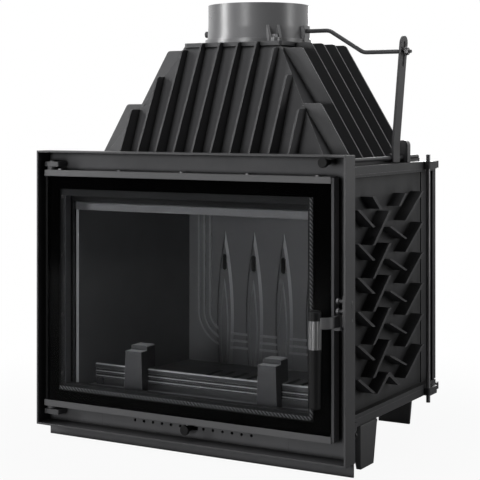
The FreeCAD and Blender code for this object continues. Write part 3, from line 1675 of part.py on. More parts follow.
# handle arm: flat bar from the grip round the door's edge to an eye with a latch tongue
body = new_body("handle_arm")
plan = new_sketch(body, "XY", arm_low)
half = s.arm_thick / 2
wire(plan, [
    (handle_x, handle_y - half),
    (arm_x + half, handle_y - half, s.arm_corner + s.arm_thick),
    (arm_x + half, pivot_y),
    (arm_x - half, pivot_y),
    (arm_x - half, handle_y + half, s.arm_corner),
    (handle_x, handle_y + half),
])
pad(body, plan, s.arm_height)
eye = new_sketch(body, "XY", arm_low)
circle(eye, arm_x, pivot_y, s.pivot_round)
pad(body, eye, s.arm_height)
tongue = new_sketch(body, "XY", arm_low)
rectangle(
    tongue,
    (arm_x, arm_x + s.tongue_reach),
    (pivot_y - half, pivot_y + half),
)
pad(body, tongue, s.tongue_height)
bore = new_sketch(body, "XY", arm_low)
circle(bore, arm_x, pivot_y, s.pivot_radius + s.pivot_gap)
pocket(body, bore, s.arm_height, reverse=True)


def arm_slot(body, low):
    """A cut on the right half of a handle piece that takes the end of the arm."""
    drawing = new_sketch(body, "XY", low)
    room = s.arm_thick / 2 + s.arm_gap
    rectangle(drawing, (-s.arm_gap, 2 * s.sleeve_radius), (-room, room))
    pocket(body, drawing, arm_low + s.arm_height + s.arm_gap - low, reverse=True)


def handle_piece(label, profile):
    body = new_body(label)
    drawing = new_sketch(body, "XZ")
    wire(drawing, profile)
    revolve(body, drawing, "V_Axis")
    bind(body, "Placement.Base.x", handle_x)
    bind(body, "Placement.Base.y", handle_y - middle)
    return body


# handle: fluted sleeve between a domed cap and a long grip
body = handle_piece("handle_cap", [
    (0, sleeve_high),
    (s.sleeve_radius, sleeve_high),
    (s.sleeve_radius, cap_high, s.cap_corner),
    (0, cap_high),
])
arm_slot(body, sleeve_high)
body = handle_piece("handle_sleeve", [
    (0, grip_high),
    (s.sleeve_radius, grip_high),
    (s.sleeve_radius, sleeve_high),
    (0, sleeve_high),
])
flute = new_sketch(body, "XY", sleeve_high)
circle(flute, s.sleeve_radius + s.flute_radius - s.flute_deep, 0, s.flute_radius)
channel = pocket(body, flute, s.sleeve_length)
spin_copies(body, [channel], s.flute_count)
arm_slot(body, arm_low - s.arm_gap)
handle_piece("handle_grip", [
    (0, grip_low),
    (s.grip_foot_radius, grip_low, s.grip_corner),
    (s.sleeve_radius, grip_high),
    (0, grip_high),
])

# latch catch plate inside the right flange, its two rollers and its screws
catch_front = s.door_front - s.catch_ahead
roller_y = s.door_front + s.roller_depth
roller_low = arm_low + s.arm_height + s.roller_lift
roller_high = roller_low + s.roller_spread
roller_face = frame_inner - s.roller_stand
body = new_body("latch_catch")
face = new_sketch(body, "YZ", frame_inner - s.catch_thick)
rectangle(face, (catch_front, catch_back), (catch_low, catch_high), s.catch_corner)
for height in (catch_screw_low, catch_screw_high):
    circle(face, catch_screw_y, height, s.catch_screw_radius + s.catch_hole_gap)
pad(body, face, s.catch_thick)
studs = new_sketch(body, "YZ", frame_inner - s.catch_thick)
for height in (roller_low, roller_high):
    circle(studs, roller_y, height, s.roller_pin_radius)
pad(body, studs, frame_inner - s.catch_thick - roller_face - s.roller_thick, reverse=True)
rollers = []
for height in (roller_low, roller_high):
    rollers.append(
        domed_screw(s.roller_radius, s.roller_thick, (roller_face, roller_y, height), "X", turn=-1)
    )
group("latch_roller", rollers)
screws = []
for height in (catch_screw_low, catch_screw_high):
    length = s.frame_sheet + s.catch_thick
    screws.append(cylinder(s.catch_screw_radius, length, (frame_half - length, catch_screw_y, height), "X"))
group("catch_screws", screws)

# damper rod with its knob in front
knob_front = s.frame_depth - s.knob_reach
rod_end = flue_y + s.rod_behind
rod_front = knob_front + s.knob_length
rod = cylinder(s.rod_radius, rod_end - rod_front, (rod_x, rod_front, rod_z), "Y")
tail = primitive("Sphere", {"Radius": s.rod_radius}, (rod_x, rod_end, rod_z))
finish_part(join([rod, tail]), "control_rod")
turned_knob("control_knob", rod_x, rod_z, knob_front, s.knob_length)

# rod bracket on the top plate
bracket_y = flue_y + s.bracket_behind
body = new_body("rod_bracket")
face = new_sketch(body, "XZ", bracket_y + s.bracket_length / 2)
bracket_half = s.bracket_width / 2
wire(face, [
    (rod_x - bracket_half / 2, top_top),
    (rod_x + bracket_half, top_top),
    (rod_x + bracket_half, top_top + s.bracket_height, bracket_half * 0.8),
    (rod_x - bracket_half / 2, top_top + s.bracket_height, bracket_half / 2),
])
circle(face, rod_x, rod_z, s.rod_radius + s.rod_gap)
pad(body, face, s.bracket_length)

# damper lever: bent flat bar on a collar round the rod, slotted for the crank pin
lever_bend_z = rod_z + s.lever_bend_lift
lever_top = crank_pin_z + s.lever_head
slot_low = crank_pin_z - s.slot_below
slot_high = crank_pin_z + s.slot_above
body = new_body("damper_lever")
collar = new_sketch(body, "XZ", flue_y + s.lever_width / 2)
circle(collar, rod_x, rod_z, s.lever_collar_radius)
pad(body, collar, s.lever_width)
strip = new_sketch(body, "XZ", flue_y + s.lever_width / 2)
wire(strip, [
    (lever_inner, top_top + s.lever_lift),
    (lever_inner + s.lever_thick, top_top + s.lever_lift),
    (lever_inner + s.lever_thick, lever_bend_z),
    (lever_inner + s.lever_thick + s.lever_lean, lever_top),
    (lever_inner + s.lever_lean, lever_top),
    (lever_inner, lever_bend_z),
])
pad(body, strip, s.lever_width)
bore = new_sketch(body, "XZ", flue_y + s.lever_width / 2)
circle(bore, rod_x, rod_z, s.rod_radius)
pocket(body, bore, s.lever_width, reverse=True)
slot = new_sketch(body, "YZ", lever_inner)
upright_slot(slot, flue_y, (slot_low + s.slot_radius, slot_high - s.slot_radius), s.slot_radius)
pocket(body, slot, 6 * s.lever_lean, both=True)
for turn in (-1, 1):
    round_off = new_sketch(body, "YZ", lever_inner)
    edge = flue_y + turn * s.lever_width / 2
    outside = edge + turn * s.lever_lift
    outline = [
        (outside, lever_top - s.lever_width / 2),
        (outside, lever_top + s.lever_lift),
        (flue_y, lever_top + s.lever_lift),
        (flue_y, lever_top),
        (edge, lever_top, s.lever_round),
        (edge, lever_top - s.lever_width / 2),
    ]
    wire(round_off, outline if turn > 0 else outline[::-1])
    pocket(body, round_off, 6 * s.lever_lean, both=True)

# damper shaft: stopped on the left of the collar, cranked down on the right to a thin threaded end
shaft_left = s.boss_reach + s.shaft_stop_gap + s.shaft_stop_length
shaft_bend_start = s.boss_reach + s.shaft_straight
shaft_bend_end = rod_x - s.shaft_end_run
crank_thin_from = rod_x + s.crank_shoulder
crank_tip = nut_at + s.washer_thick + s.nut_thick + s.crank_over
body = new_body("damper_shaft")
bind(body, "Placement.Base.y", flue_y - middle)
path = new_sketch(body, "XZ")
wire(path, [
    (-shaft_left, crank_z),
    (shaft_bend_start, crank_z, s.shaft_bend_radius),
    (shaft_bend_end, crank_pin_z, s.shaft_bend_radius),
    (crank_thin_from, crank_pin_z),
], closed=False)
section = new_sketch(body, "YZ", -shaft_left)
circle(section, 0, crank_z, s.shaft_radius)
pipe = body.newObject("PartDesign::AdditivePipe", "bent_rod")
pipe.Profile = section
pipe.Spine = path
thin = new_sketch(body, "YZ", crank_thin_from)
circle(thin, 0, crank_pin_z, s.crank_thin_radius)
pad(body, thin, crank_tip - crank_thin_from)
stop_collar = new_sketch(body, "YZ", -shaft_left)
circle(stop_collar, 0, crank_z, s.shaft_stop_radius)
pad(body, stop_collar, s.shaft_stop_length)

# damper blade: trimmed disc beside the shaft, leaning in the collar
blade_radius = s.flue_bore - s.blade_clear
body = new_body("damper_blade")
bind(body, "Placement.Base.y", flue_y - middle)
bind(body, "Placement.Base.z", crank_z)
body.Placement.Rotation = FreeCAD.Rotation(FreeCAD.Vector(1, 0, 0), 1)
bind(body, "Placement.Rotation.Angle", s.blade_angle)
disc = new_sketch(body, "XZ", -(s.shaft_radius + s.blade_gap))
circle(disc, 0, 0, blade_radius)
pad(body, disc, s.blade_thick)
trim = new_sketch(body, "XZ")
rectangle(trim, (-blade_radius, blade_radius), (s.blade_trim, blade_radius))
pocket(body, trim, 4 * (s.shaft_radius + s.blade_thick), both=True)

# nut and washer outside the lever
ring = cylinder(s.washer_radius, s.washer_thick, (nut_at, flue_y, crank_pin_z), "X")
nut = hexagon(s.nut_radius, s.nut_thick, (nut_at + s.washer_thick, flue_y, crank_pin_z), "X")
hole = cylinder(s.crank_thin_radius, s.washer_thick + s.nut_thick, (nut_at, flue_y, crank_pin_z), "X")
finish_part(cut(join([ring, nut]), hole), "crank_nut")

doc.recompute()
faulty = [thing.Label for thing in doc.Objects if "Invalid" in thing.State or "Error" in thing.State]
if faulty:
    raise RuntimeError(f"objects that did not compute: {faulty}")
os.makedirs("parts", exist_ok=True)
for part in parts:
    if part.Shape.isNull() or not part.Shape.isValid() or not part.Shape.Solids:
        raise RuntimeError(f"no valid solid in {part.Label}")
    part.Shape.exportStep(f"parts/{part.Label}.step")
print(len(parts), "parts written")
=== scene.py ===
import math

import bpy
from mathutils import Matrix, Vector


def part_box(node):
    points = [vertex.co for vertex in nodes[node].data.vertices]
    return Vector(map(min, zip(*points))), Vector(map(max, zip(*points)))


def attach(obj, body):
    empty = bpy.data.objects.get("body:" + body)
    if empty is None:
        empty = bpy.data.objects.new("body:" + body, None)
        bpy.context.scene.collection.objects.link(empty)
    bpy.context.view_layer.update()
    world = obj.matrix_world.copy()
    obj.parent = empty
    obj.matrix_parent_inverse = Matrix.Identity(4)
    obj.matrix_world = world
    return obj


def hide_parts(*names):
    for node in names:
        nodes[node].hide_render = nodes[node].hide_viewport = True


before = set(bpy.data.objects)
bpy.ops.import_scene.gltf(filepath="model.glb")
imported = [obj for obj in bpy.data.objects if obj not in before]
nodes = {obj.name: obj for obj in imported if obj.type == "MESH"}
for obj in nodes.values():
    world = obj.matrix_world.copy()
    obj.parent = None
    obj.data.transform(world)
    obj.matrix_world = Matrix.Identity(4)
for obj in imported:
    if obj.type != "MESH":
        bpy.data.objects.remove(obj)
for leftover in ("Cube", "Light", "Camera"):
    if leftover in bpy.data.objects:
        bpy.data.objects.remove(bpy.data.objects[leftover])
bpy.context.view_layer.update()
scene = bpy.context.scene

# Camera of the photograph: level, to the right of the door and a little above the top plate.
# The frame is dropped by the lens shift, so that uprights stay upright.
camera_data = bpy.data.cameras.new("photo_camera")
camera_data.lens = 100.5135
camera_data.sensor_width = 36
camera_data.shift_y = -0.25844
camera = bpy.data.objects.new("photo_camera", camera_data)
camera.location = (1.29985, -2.24728, 0.61636)
camera.rotation_euler = (math.radians(90), 0, math.radians(30.05))
scene.collection.objects.link(camera)
scene.camera = camera
scene.view_settings.view_transform = "Standard"


# Studio: a flat pale floor under a white world, which also shows behind the object in reflections and through
# glass.
# Soft boxes stand on all four sides, and a broad one hangs overhead.
def feed(tree, socket, value):
    """Gives a socket its value, from another socket or as a plain number or colour."""
    if isinstance(value, bpy.types.NodeSocket):
        tree.links.new(value, socket)
    else:
        socket.default_value = value


def add_node(tree, kind, **values):
    """A shader node with the given attributes, or socket values where the name starts with a capital."""
    made = tree.nodes.new(kind)
    for name, value in values.items():
        if name[0].isupper():
            feed(tree, made.inputs[name.replace("_", " ")], value)
        else:
            setattr(made, name, value)
    return made


def reckon(tree, operation, first, second=0.0):
    """The result of one sum or comparison, on sockets or numbers."""
    made = add_node(tree, "ShaderNodeMath", operation=operation)
    feed(tree, made.inputs[0], first)
    feed(tree, made.inputs[1], second)
    return made.outputs[0]


def spread(tree, value, low, high, to_low=0.0, to_high=1.0, smooth=False):
    """A value that runs from to_low to to_high while its source runs from low to high."""
    made = add_node(
        tree,
        "ShaderNodeMapRange",
        interpolation_type="SMOOTHSTEP" if smooth else "LINEAR",
        Value=value,
        From_Min=low,
        From_Max=high,
        To_Min=to_low,
        To_Max=to_high,
    )
    return made.outputs[0]


def mix_shaders(tree, share, first, second):
    """A blend of two shaders, all of the second where the share is one."""
    made = add_node(tree, "ShaderNodeMixShader", Fac=share)
    feed(tree, made.inputs[1], first.outputs[0])
    feed(tree, made.inputs[2], second.outputs[0])
    return made.outputs[0]


world = bpy.data.worlds.new("white_studio")
world.use_nodes = True
scene.world = world
sky = world.node_tree
sky.nodes.clear()
ray = add_node(sky, "ShaderNodeLightPath")
direction = add_node(sky, "ShaderNodeTexCoord").outputs["Generated"]
along = add_node(sky, "ShaderNodeSeparateXYZ", Vector=direction)
behind = spread(sky, along.outputs["Y"], -0.15, 0.35, smooth=True)
mirrored = reckon(sky, "MAXIMUM", ray.outputs["Is Glossy Ray"], ray.outputs["Is Transmission Ray"])
backdrop_seen = reckon(sky, "MULTIPLY", mirrored, behind)
white_share = reckon(sky, "MAXIMUM", ray.outputs["Is Camera Ray"], backdrop_seen)
room_light = add_node(sky, "ShaderNodeBackground", Color=(0.02, 0.02, 0.0205, 1), Strength=1.0)
white_light = add_node(sky, "ShaderNodeBackground", Color=(1, 1, 1, 1), Strength=1.0)
add_node(sky, "ShaderNodeOutputWorld", Surface=mix_shaders(sky, white_share, room_light, white_light))

floor_half = 9
floor_drop = 0.0005
floor_mesh = bpy.data.meshes.new("studio_floor")
floor_corners = [(x * floor_half, y * floor_half, 0) for x, y in ((-1, -1), (1, -1), (1, 1), (-1, 1))]
floor_mesh.from_pydata(floor_corners, [], [(0, 1, 2, 3)])
floor = bpy.data.objects.new("studio_floor", floor_mesh)
floor.location.z = -floor_drop
scene.collection.objects.link(floor)
floor_paint = bpy.data.materials.new("studio_floor_white")
floor_paint.use_nodes = True
tree = floor_paint.node_tree
tree.nodes.clear()
speckle = add_node(tree, "ShaderNodeTexNoise", Scale=180.0, Detail=3.0)
speckle_bump = add_node(tree, "ShaderNodeBump", Strength=0.03, Distance=0.0004, Height=speckle.outputs[0])
matt = add_node(tree, "ShaderNodeBsdfDiffuse", Color=(0.42, 0.42, 0.42, 1), Normal=speckle_bump.outputs[0])
glow = add_node(tree, "ShaderNodeEmission", Color=(1, 1, 1, 1), Strength=1.0)
floor_ray = add_node(tree, "ShaderNodeLightPath")
floor_place = add_node(tree, "ShaderNodeTexCoord").outputs["Object"]
from_middle = add_node(tree, "ShaderNodeVectorMath", operation="LENGTH", Vector=floor_place)
whitened = spread(tree, from_middle.outputs["Value"], 0.35, 1.1, to_low=0.94, smooth=True)
glow_seen = reckon(tree, "MULTIPLY", floor_ray.outputs["Is Camera Ray"], whitened)
add_node(tree, "ShaderNodeOutputMaterial", Surface=mix_shaders(tree, glow_seen, matt, glow))
floor_mesh.materials.append(floor_paint)


def soft_box(name, place, aim, width, height, power):
    """A rectangular studio lamp at a place, turned to a point."""
    lamp = bpy.data.lights.new(name, "AREA")
    lamp.shape = "RECTANGLE"
    lamp.size = width
    lamp.size_y = height
    lamp.energy = power
    holder = bpy.data.objects.new(name, lamp)
    holder.location = place
    holder.rotation_euler = (Vector(aim) - Vector(place)).to_track_quat("-Z", "Y").to_euler()
    scene.collection.objects.link(holder)


soft_box("left_soft_box", place=(-2.7, -1.9, 1.2), aim=(0, -0.05, 0.5), width=0.8, height=2.2, power=62)
soft_box("right_soft_box", place=(3.1, 0.8, 0.6), aim=(0, 0.1, 0.4), width=0.8, height=1.0, power=14)
soft_box("front_soft_box", place=(-0.1, -3.3, 0.5), aim=(0, -0.1, 0.35), width=0.7, height=0.7, power=28)
soft_box("top_soft_box", place=(-0.1, -1.0, 3.2), aim=(0, 0, 0.5), width=1.8, height=1.8, power=31)
soft_box("rear_soft_box", place=(-0.9, 3.3, 1.3), aim=(0, 0.2, 0.45), width=1.0, height=1.2, power=44)


# Side walls, rear wall, top and base plates: grey iron castings bolted together as the body.
# They carry a thin coat of dark heat paint over a fine sand-cast skin that shows on broad faces.
def new_group(name, inputs, outputs):
    """An empty node group with float sockets; gives its tree, what it is given and what it results in."""
    made = bpy.data.node_groups.new(name, "ShaderNodeTree")
    for socket, value in inputs.items():
        entry = made.interface.new_socket(socket, in_out="INPUT", socket_type="NodeSocketFloat")
        entry.default_value = value
    for socket in outputs:
        made.interface.new_socket(socket, in_out="OUTPUT", socket_type="NodeSocketFloat")
    return made, made.nodes.new("NodeGroupInput").outputs, made.nodes.new("NodeGroupOutput").inputs


# sand skin: fine grain with scattered pimples, and slow clouds of tone
sand_skin, given, result = new_group("sand_skin", {"Grain": 900.0}, ("Height", "Cloud"))
place = add_node(sand_skin, "ShaderNodeTexCoord").outputs["Object"]
grain = add_node(
    sand_skin,
    "ShaderNodeTexNoise",
    Vector=place,
    Scale=given["Grain"],
    Detail=3.0,
    Roughness=0.6,
)
pimples = add_node(
    sand_skin,
    "ShaderNodeTexVoronoi",
    feature="SMOOTH_F1",
    Vector=place,
    Scale=260.0,
    Smoothness=0.6,
)
grain_height = reckon(sand_skin, "MULTIPLY", grain.outputs[0], 0.7)
pimple_height = reckon(sand_skin, "MULTIPLY", pimples.outputs["Distance"], -0.45)
feed(sand_skin, result["Height"], reckon(sand_skin, "ADD", grain_height, pimple_height))
clouds = add_node(sand_skin, "ShaderNodeTexNoise", Vector=place, Scale=7.0, Detail=4.0, Roughness=0.65)
feed(sand_skin, result["Cloud"], spread(sand_skin, clouds.outputs[0], 0.3, 0.7))

# worn edges and lit flanks: outer edges painted lighter, partly paint worn thin and partly painted edge
# highlight, broken up by fine noise; flanks that face one way are painted lighter as painted light the lee is
# the flank that faces the other way, painted darker as painted shade; the painted light on flanks may fade
# from a full height to a faded one
worn_edges_and_lit_flanks, given, result = new_group(
    "worn_edges_and_lit_flanks",
    {"Reach": 0.0012, "Flank X": 0.0, "Flank Y": 0.0, "Flank Z": 0.0, "Faded": -2.0, "Full": -1.0},
    ("Mask", "Lee"),
)
place = add_node(worn_edges_and_lit_flanks, "ShaderNodeTexCoord").outputs["Object"]
facing = add_node(worn_edges_and_lit_flanks, "ShaderNodeNewGeometry").outputs["Normal"]
rounded = add_node(worn_edges_and_lit_flanks, "ShaderNodeBevel", samples=4, Radius=given["Reach"])
turned = add_node(worn_edges_and_lit_flanks, "ShaderNodeVectorMath", operation="DOT_PRODUCT")
feed(worn_edges_and_lit_flanks, turned.inputs[0], rounded.outputs[0])
feed(worn_edges_and_lit_flanks, turned.inputs[1], facing)
edge = spread(worn_edges_and_lit_flanks, turned.outputs["Value"], 0.995, 0.86)
breakup = add_node(worn_edges_and_lit_flanks, "ShaderNodeTexNoise", Vector=place, Scale=120.0, Detail=3.0)
broken_edge = reckon(worn_edges_and_lit_flanks, "MULTIPLY", edge, spread(worn_edges_and_lit_flanks, breakup.outputs[0], 0.25, 0.6))
own_facing = add_node(
    worn_edges_and_lit_flanks,
    "ShaderNodeVectorTransform",
    vector_type="NORMAL",
    convert_from="WORLD",
    convert_to="OBJECT",
    Vector=facing,
)
turned_to = add_node(worn_edges_and_lit_flanks, "ShaderNodeSeparateXYZ", Vector=own_facing.outputs[0])
flank = reckon(worn_edges_and_lit_flanks, "MULTIPLY", turned_to.outputs["X"], given["Flank X"])
for axis in ("Y", "Z"):
    share = reckon(worn_edges_and_lit_flanks, "MULTIPLY", turned_to.outputs[axis], given["Flank " + axis])
    flank = reckon(worn_edges_and_lit_flanks, "ADD", flank, share)
height = add_node(worn_edges_and_lit_flanks, "ShaderNodeSeparateXYZ", Vector=place).outputs["Z"]
fade = spread(worn_edges_and_lit_flanks, height, given["Faded"], given["Full"], to_low=0.1)
lit_flank = reckon(worn_edges_and_lit_flanks, "MULTIPLY", spread(worn_edges_and_lit_flanks, flank, 0.1, 0.5), fade)
feed(worn_edges_and_lit_flanks, result["Mask"], reckon(worn_edges_and_lit_flanks, "MAXIMUM", broken_edge, lit_flank))
feed(worn_edges_and_lit_flanks, result["Lee"], spread(worn_edges_and_lit_flanks, flank, -0.4, -0.85))

# painted crevice shade: inner corners and grooves within a few millimetres, painted darker as painted shade
painted_crevice_shade, given, result = new_group("painted_crevice_shade", {"Reach": 0.006}, ("Mask",))
openness = add_node(painted_crevice_shade, "ShaderNodeAmbientOcclusion", samples=6, Distance=given["Reach"])
feed(painted_crevice_shade, result["Mask"], spread(painted_crevice_shade, openness.outputs["AO"], 0.95, 0.5, smooth=True))

# places of the colour sockets on a mix node
colour_below = 6
colour_above = 7
colour_mixed = 2


def mix_colour(tree, share, below, above):
    """A colour between two, each a socket or three numbers; all of the second where the share is one."""
    made = add_node(tree, "ShaderNodeMix", data_type="RGBA", Factor=share)
    for index, colour in ((colour_below, below), (colour_above, above)):
        if isinstance(colour, tuple):
            colour = colour + (1,)
        feed(tree, made.inputs[index], colour)
    return made.outputs[colour_mixed]


def clouded_finish(name, dark, light, dull, glossy, grain, bump=0.0, depth=0.0, **shader):
    """A material whose tone and gloss drift in slow clouds, with a grained skin if it has a bump."""
    made = bpy.data.materials.new(name)
    made.use_nodes = True
    tree = made.node_tree
    coat = tree.nodes["Principled BSDF"]
    for socket, value in shader.items():
        coat.inputs[socket.replace("_", " ")].default_value = value
    skin = add_node(tree, "ShaderNodeGroup", node_tree=sand_skin, Grain=grain)
    cloud = skin.outputs["Cloud"]
    feed(tree, coat.inputs["Base Color"], mix_colour(tree, cloud, dark, light))
    feed(tree, coat.inputs["Roughness"], spread(tree, cloud, 0.0, 1.0, to_low=dull, to_high=glossy))
    if bump > 0:
        relief = add_node(tree, "ShaderNodeBump", Strength=bump, Distance=depth)
        feed(tree, relief.inputs["Height"], skin.outputs["Height"])
        feed(tree, coat.inputs["Normal"], relief.outputs[0])
    return made


def lay_over(material, share, colour):
    """Lays a colour over a material's own where the share is one."""
    tree = material.node_tree
    base = tree.nodes["Principled BSDF"].inputs["Base Color"]
    feed(tree, base, mix_colour(tree, share, base.links[0].from_socket, colour))


tone_spread = 0.12
gloss_spread = 0.05
skin_depth = 0.0004
crest_share = 0.5
box_shade_black = (0.018, 0.018, 0.0184)
crevice_shade_black = (0.008, 0.008, 0.0082)


def heat_paint(
    name,
    tone,
    worn_and_lit,
    rough,
    grain=900.0,
    bump=0.25,
    reach=0.0012,
    shine=0.5,
    flank=(0.0, 0.0, 0.0),
    fade=(-2.0, -1.0),
    lee=None,
    shade_box=None,
    crest=None,
    crevice_shade=None,
):
    """Dark heat paint on iron or steel: clouded tone, grained skin, lighter edges that are partly wear and
    partly painted highlight, and painted light and shade where asked.
    """
    made = clouded_finish(
        name,
        dark=tuple(part * (1 - tone_spread) for part in tone),
        light=tuple(part * (1 + tone_spread) for part in tone),
        dull=rough + gloss_spread,
        glossy=rough - gloss_spread,
        grain=grain,
        bump=bump,
        depth=skin_depth,
        Specular_IOR_Level=shine,
    )
    tree = made.node_tree
    edges = add_node(
        tree,
        "ShaderNodeGroup",
        node_tree=worn_edges_and_lit_flanks,
        Reach=reach,
        Flank_X=flank[0],
        Flank_Y=flank[1],
        Flank_Z=flank[2],
        Faded=fade[0],
        Full=fade[1],
    )
    if lee is not None:
        # painted shade on the lee flank
        lay_over(made, edges.outputs["Lee"], lee)
    if shade_box is not None:
        # painted shade: dark inside the box
        box_shaded = add_node(tree, "ShaderNodeGroup", node_tree=painted_shade_box, **shade_box)
        lay_over(made, box_shaded.outputs["Mask"], box_shade_black)
    if crest is not None:
        tops = add_node(tree, "ShaderNodeGroup", node_tree=raised_tops, **crest)
        lay_over(made, tops.outputs["Mask"], tuple(part * crest_share for part in worn_and_lit))
    # lighter edges, partly wear and partly painted highlight, and painted light on the given flank
    lay_over(made, edges.outputs["Mask"], worn_and_lit)
    if crevice_shade is not None:
        # painted shade: darker in inner corners and grooves
        corners = add_node(tree, "ShaderNodeGroup", node_tree=painted_crevice_shade, Reach=crevice_shade)
        lay_over(made, corners.outputs["Mask"], crevice_shade_black)
    return made


weld_reach = 0.00002
sharp_angle = math.radians(40)
face_weight = 90


def dress(*names, material, edge=None):
    """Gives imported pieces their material, and breaks sharp edges by a small bevel if a width is given."""
    for name in names:
        piece = nodes[name]
        piece.data.materials[0] = material
        if edge is None:
            continue
        weld = piece.modifiers.new("weld", "WELD")
        weld.merge_threshold = weld_reach
        bevel = piece.modifiers.new("broken_edge", "BEVEL")
        bevel.width = edge
        bevel.segments = 2
        bevel.limit_method = "ANGLE"
        bevel.angle_limit = sharp_angle
        bevel.miter_outer = "MITER_SHARP"
        smooth = piece.modifiers.new("smooth_faces", "WEIGHTED_NORMAL")
        smooth.keep_sharp = False
        smooth.weight = face_weight


# The wall paint carries painted shade in its recesses, between the ribs.
wall_paint = heat_paint(
    "wall_paint",
    tone=(0.055, 0.055, 0.058),
    worn_and_lit=(0.26, 0.26, 0.265),
    rough=0.5,
    shine=0.3,
    crevice_shade=0.03,
)
dress("left_side_wall", "right_side_wall", "rear_wall", material=wall_paint, edge=0.0008)
# The plate paint carries painted shade in its inner corners.
plate_paint = heat_paint(
    "plate_paint",
    tone=(0.055, 0.055, 0.058),
    worn_and_lit=(0.17, 0.17, 0.175),
    rough=0.48,
    shine=0.35,
    crevice_shade=0.02,
)
dress("top_plate", "base_plate", material=plate_paint, edge=0.0012)

# Smoke dome and its fins: one hollow iron casting with upright cooling fins on all four faces.
# It stands on the top plate in sealing paste; fins keep a slightly rounded front edge from the mould.
# The dome paint carries painted shade in the valleys between the fins.
dome_paint = heat_paint(
    "dome_paint",
    tone=(0.068, 0.068, 0.071),
    worn_and_lit=(0.3, 0.3, 0.305),
    rough=0.46,
    bump=0.2,
    crevice_shade=0.012,
)
dress("smoke_dome", material=dome_paint, edge=0.0012)
dress("dome_fins", material=dome_paint, edge=0.0009)

# Flue collar: turned iron spigot bolted on the dome through two lugs between gussets.
# The straight upper part is machined smoother than the castings for the pipe that slides over it.
collar_paint = heat_paint(
    "collar_paint",
    tone=(0.19, 0.19, 0.195),
    worn_and_lit=(0.34, 0.34, 0.345),
    rough=0.3,
    bump=0.05,
    shine=0.85,
)
dress("flue_collar", material=collar_paint, edge=0.0008)

# Zinc-plated fixings: long tie rods through the ears, hexagon bolts on lugs and legs.
# Rolled steel with a dull, slightly blotched coat of zinc.
zinc = clouded_finish(
    "dull_zinc",
    dark=(0.13, 0.13, 0.135),
    light=(0.24, 0.24, 0.245),
    dull=0.5,
    glossy=0.36,
    grain=500.0,
    bump=0.15,
    depth=0.0003,
    Metallic=0.9,
)
dress("tie_rods", "collar_bolts", "leg_bolts", material=zinc, edge=0.0004)

# Legs: folded steel angles screwed under the base plate, painted with the body.
# Their front faces are painted lighter than the castings, as painted light.
leg_paint = heat_paint(
    "leg_paint",
    tone=(0.075, 0.075, 0.078),
    worn_and_lit=(0.26, 0.26, 0.265),
    rough=0.5,
    bump=0.12,
    flank=(0.0, -1.0, 0.0),
)
dress("leg_front_left", "leg_front_right", "leg_rear_left", "leg_rear_right", material=leg_paint, edge=0.0006)


# Surround ring, front plate and air panel: folded sheet steel, spot welded and painted before assembly.
# Sheet is smoother than the castings, with a fine orange-peel skin from spraying.
# Shade is painted on the front plate behind the door, where the door frame and the top flange shade it.
def all_hold(tree, tests):
    """One where every test of a value against a limit holds, else nought."""
    share = 1.0
    for value, comparison, limit in tests:
        share = reckon(tree, "MULTIPLY", reckon(tree, comparison, value, limit), share)
    return share


# painted shade box: the part of a piece that lies inside an upright box about the middle, behind a plane,
# painted dark as painted shade
painted_shade_box, given, result = new_group(
    "painted_shade_box",
    {"Half Width": 0.3, "Half Height": 0.2, "Middle Height": 0.3, "Front": -1.0},
    ("Mask",),
)
place = add_node(painted_shade_box, "ShaderNodeTexCoord").outputs["Object"]
spot = add_node(painted_shade_box, "ShaderNodeSeparateXYZ", Vector=place)
aside = reckon(painted_shade_box, "ABSOLUTE", spot.outputs["X"])
above = reckon(painted_shade_box, "SUBTRACT", spot.outputs["Z"], given["Middle Height"])
off_middle = reckon(painted_shade_box, "ABSOLUTE", above)
box_tests = (
    (aside, "LESS_THAN", given["Half Width"]),
    (off_middle, "LESS_THAN", given["Half Height"]),
    (spot.outputs["Y"], "GREATER_THAN", given["Front"]),
)
feed(painted_shade_box, result["Mask"], all_hold(painted_shade_box, box_tests))

sheet_tone = (0.06, 0.06, 0.063)
sheet_worn_and_lit = (0.15, 0.15, 0.155)
sheet_skin = {"grain": 420.0, "bump": 0.1}
sheet_paint = heat_paint("sheet_paint", sheet_tone, sheet_worn_and_lit, rough=0.42, reach=0.0008, **sheet_skin)
# The ring paint carries painted shade in the inner corners of its flanges.
ring_paint = heat_paint(
    "ring_paint",
    sheet_tone,
    sheet_worn_and_lit,
    rough=0.42,
    reach=0.0008,
    crevice_shade=0.035,
    **sheet_skin,
)
dress("surround_frame", material=ring_paint, edge=0.0005)
# The front plate's faces turned to +X, such as the left edge of the mouth, are painted lighter as painted
# light.
front_paint = heat_paint(
    "front_paint",
    tone=(0.11, 0.11, 0.114),
    worn_and_lit=sheet_worn_and_lit,
    rough=0.42,
    reach=0.0008,
    shine=0.06,
    flank=(1.0, 0.0, 0.0),
    shade_box={"Half Width": 0.298, "Half Height": 0.213, "Middle Height": 0.2868, "Front": -1.0},
    crevice_shade=0.01,
    **sheet_skin,
)
dress("front_plate", "air_panel", material=front_paint)
dress("slider_guides", "rod_bracket", material=sheet_paint, edge=0.0004)

# Firebox linings: cast plates that stand loose on the hearth and lean on the walls.
# The back plate has raised leaf forms and beads; all carry the dry matt coat of a fire chamber.

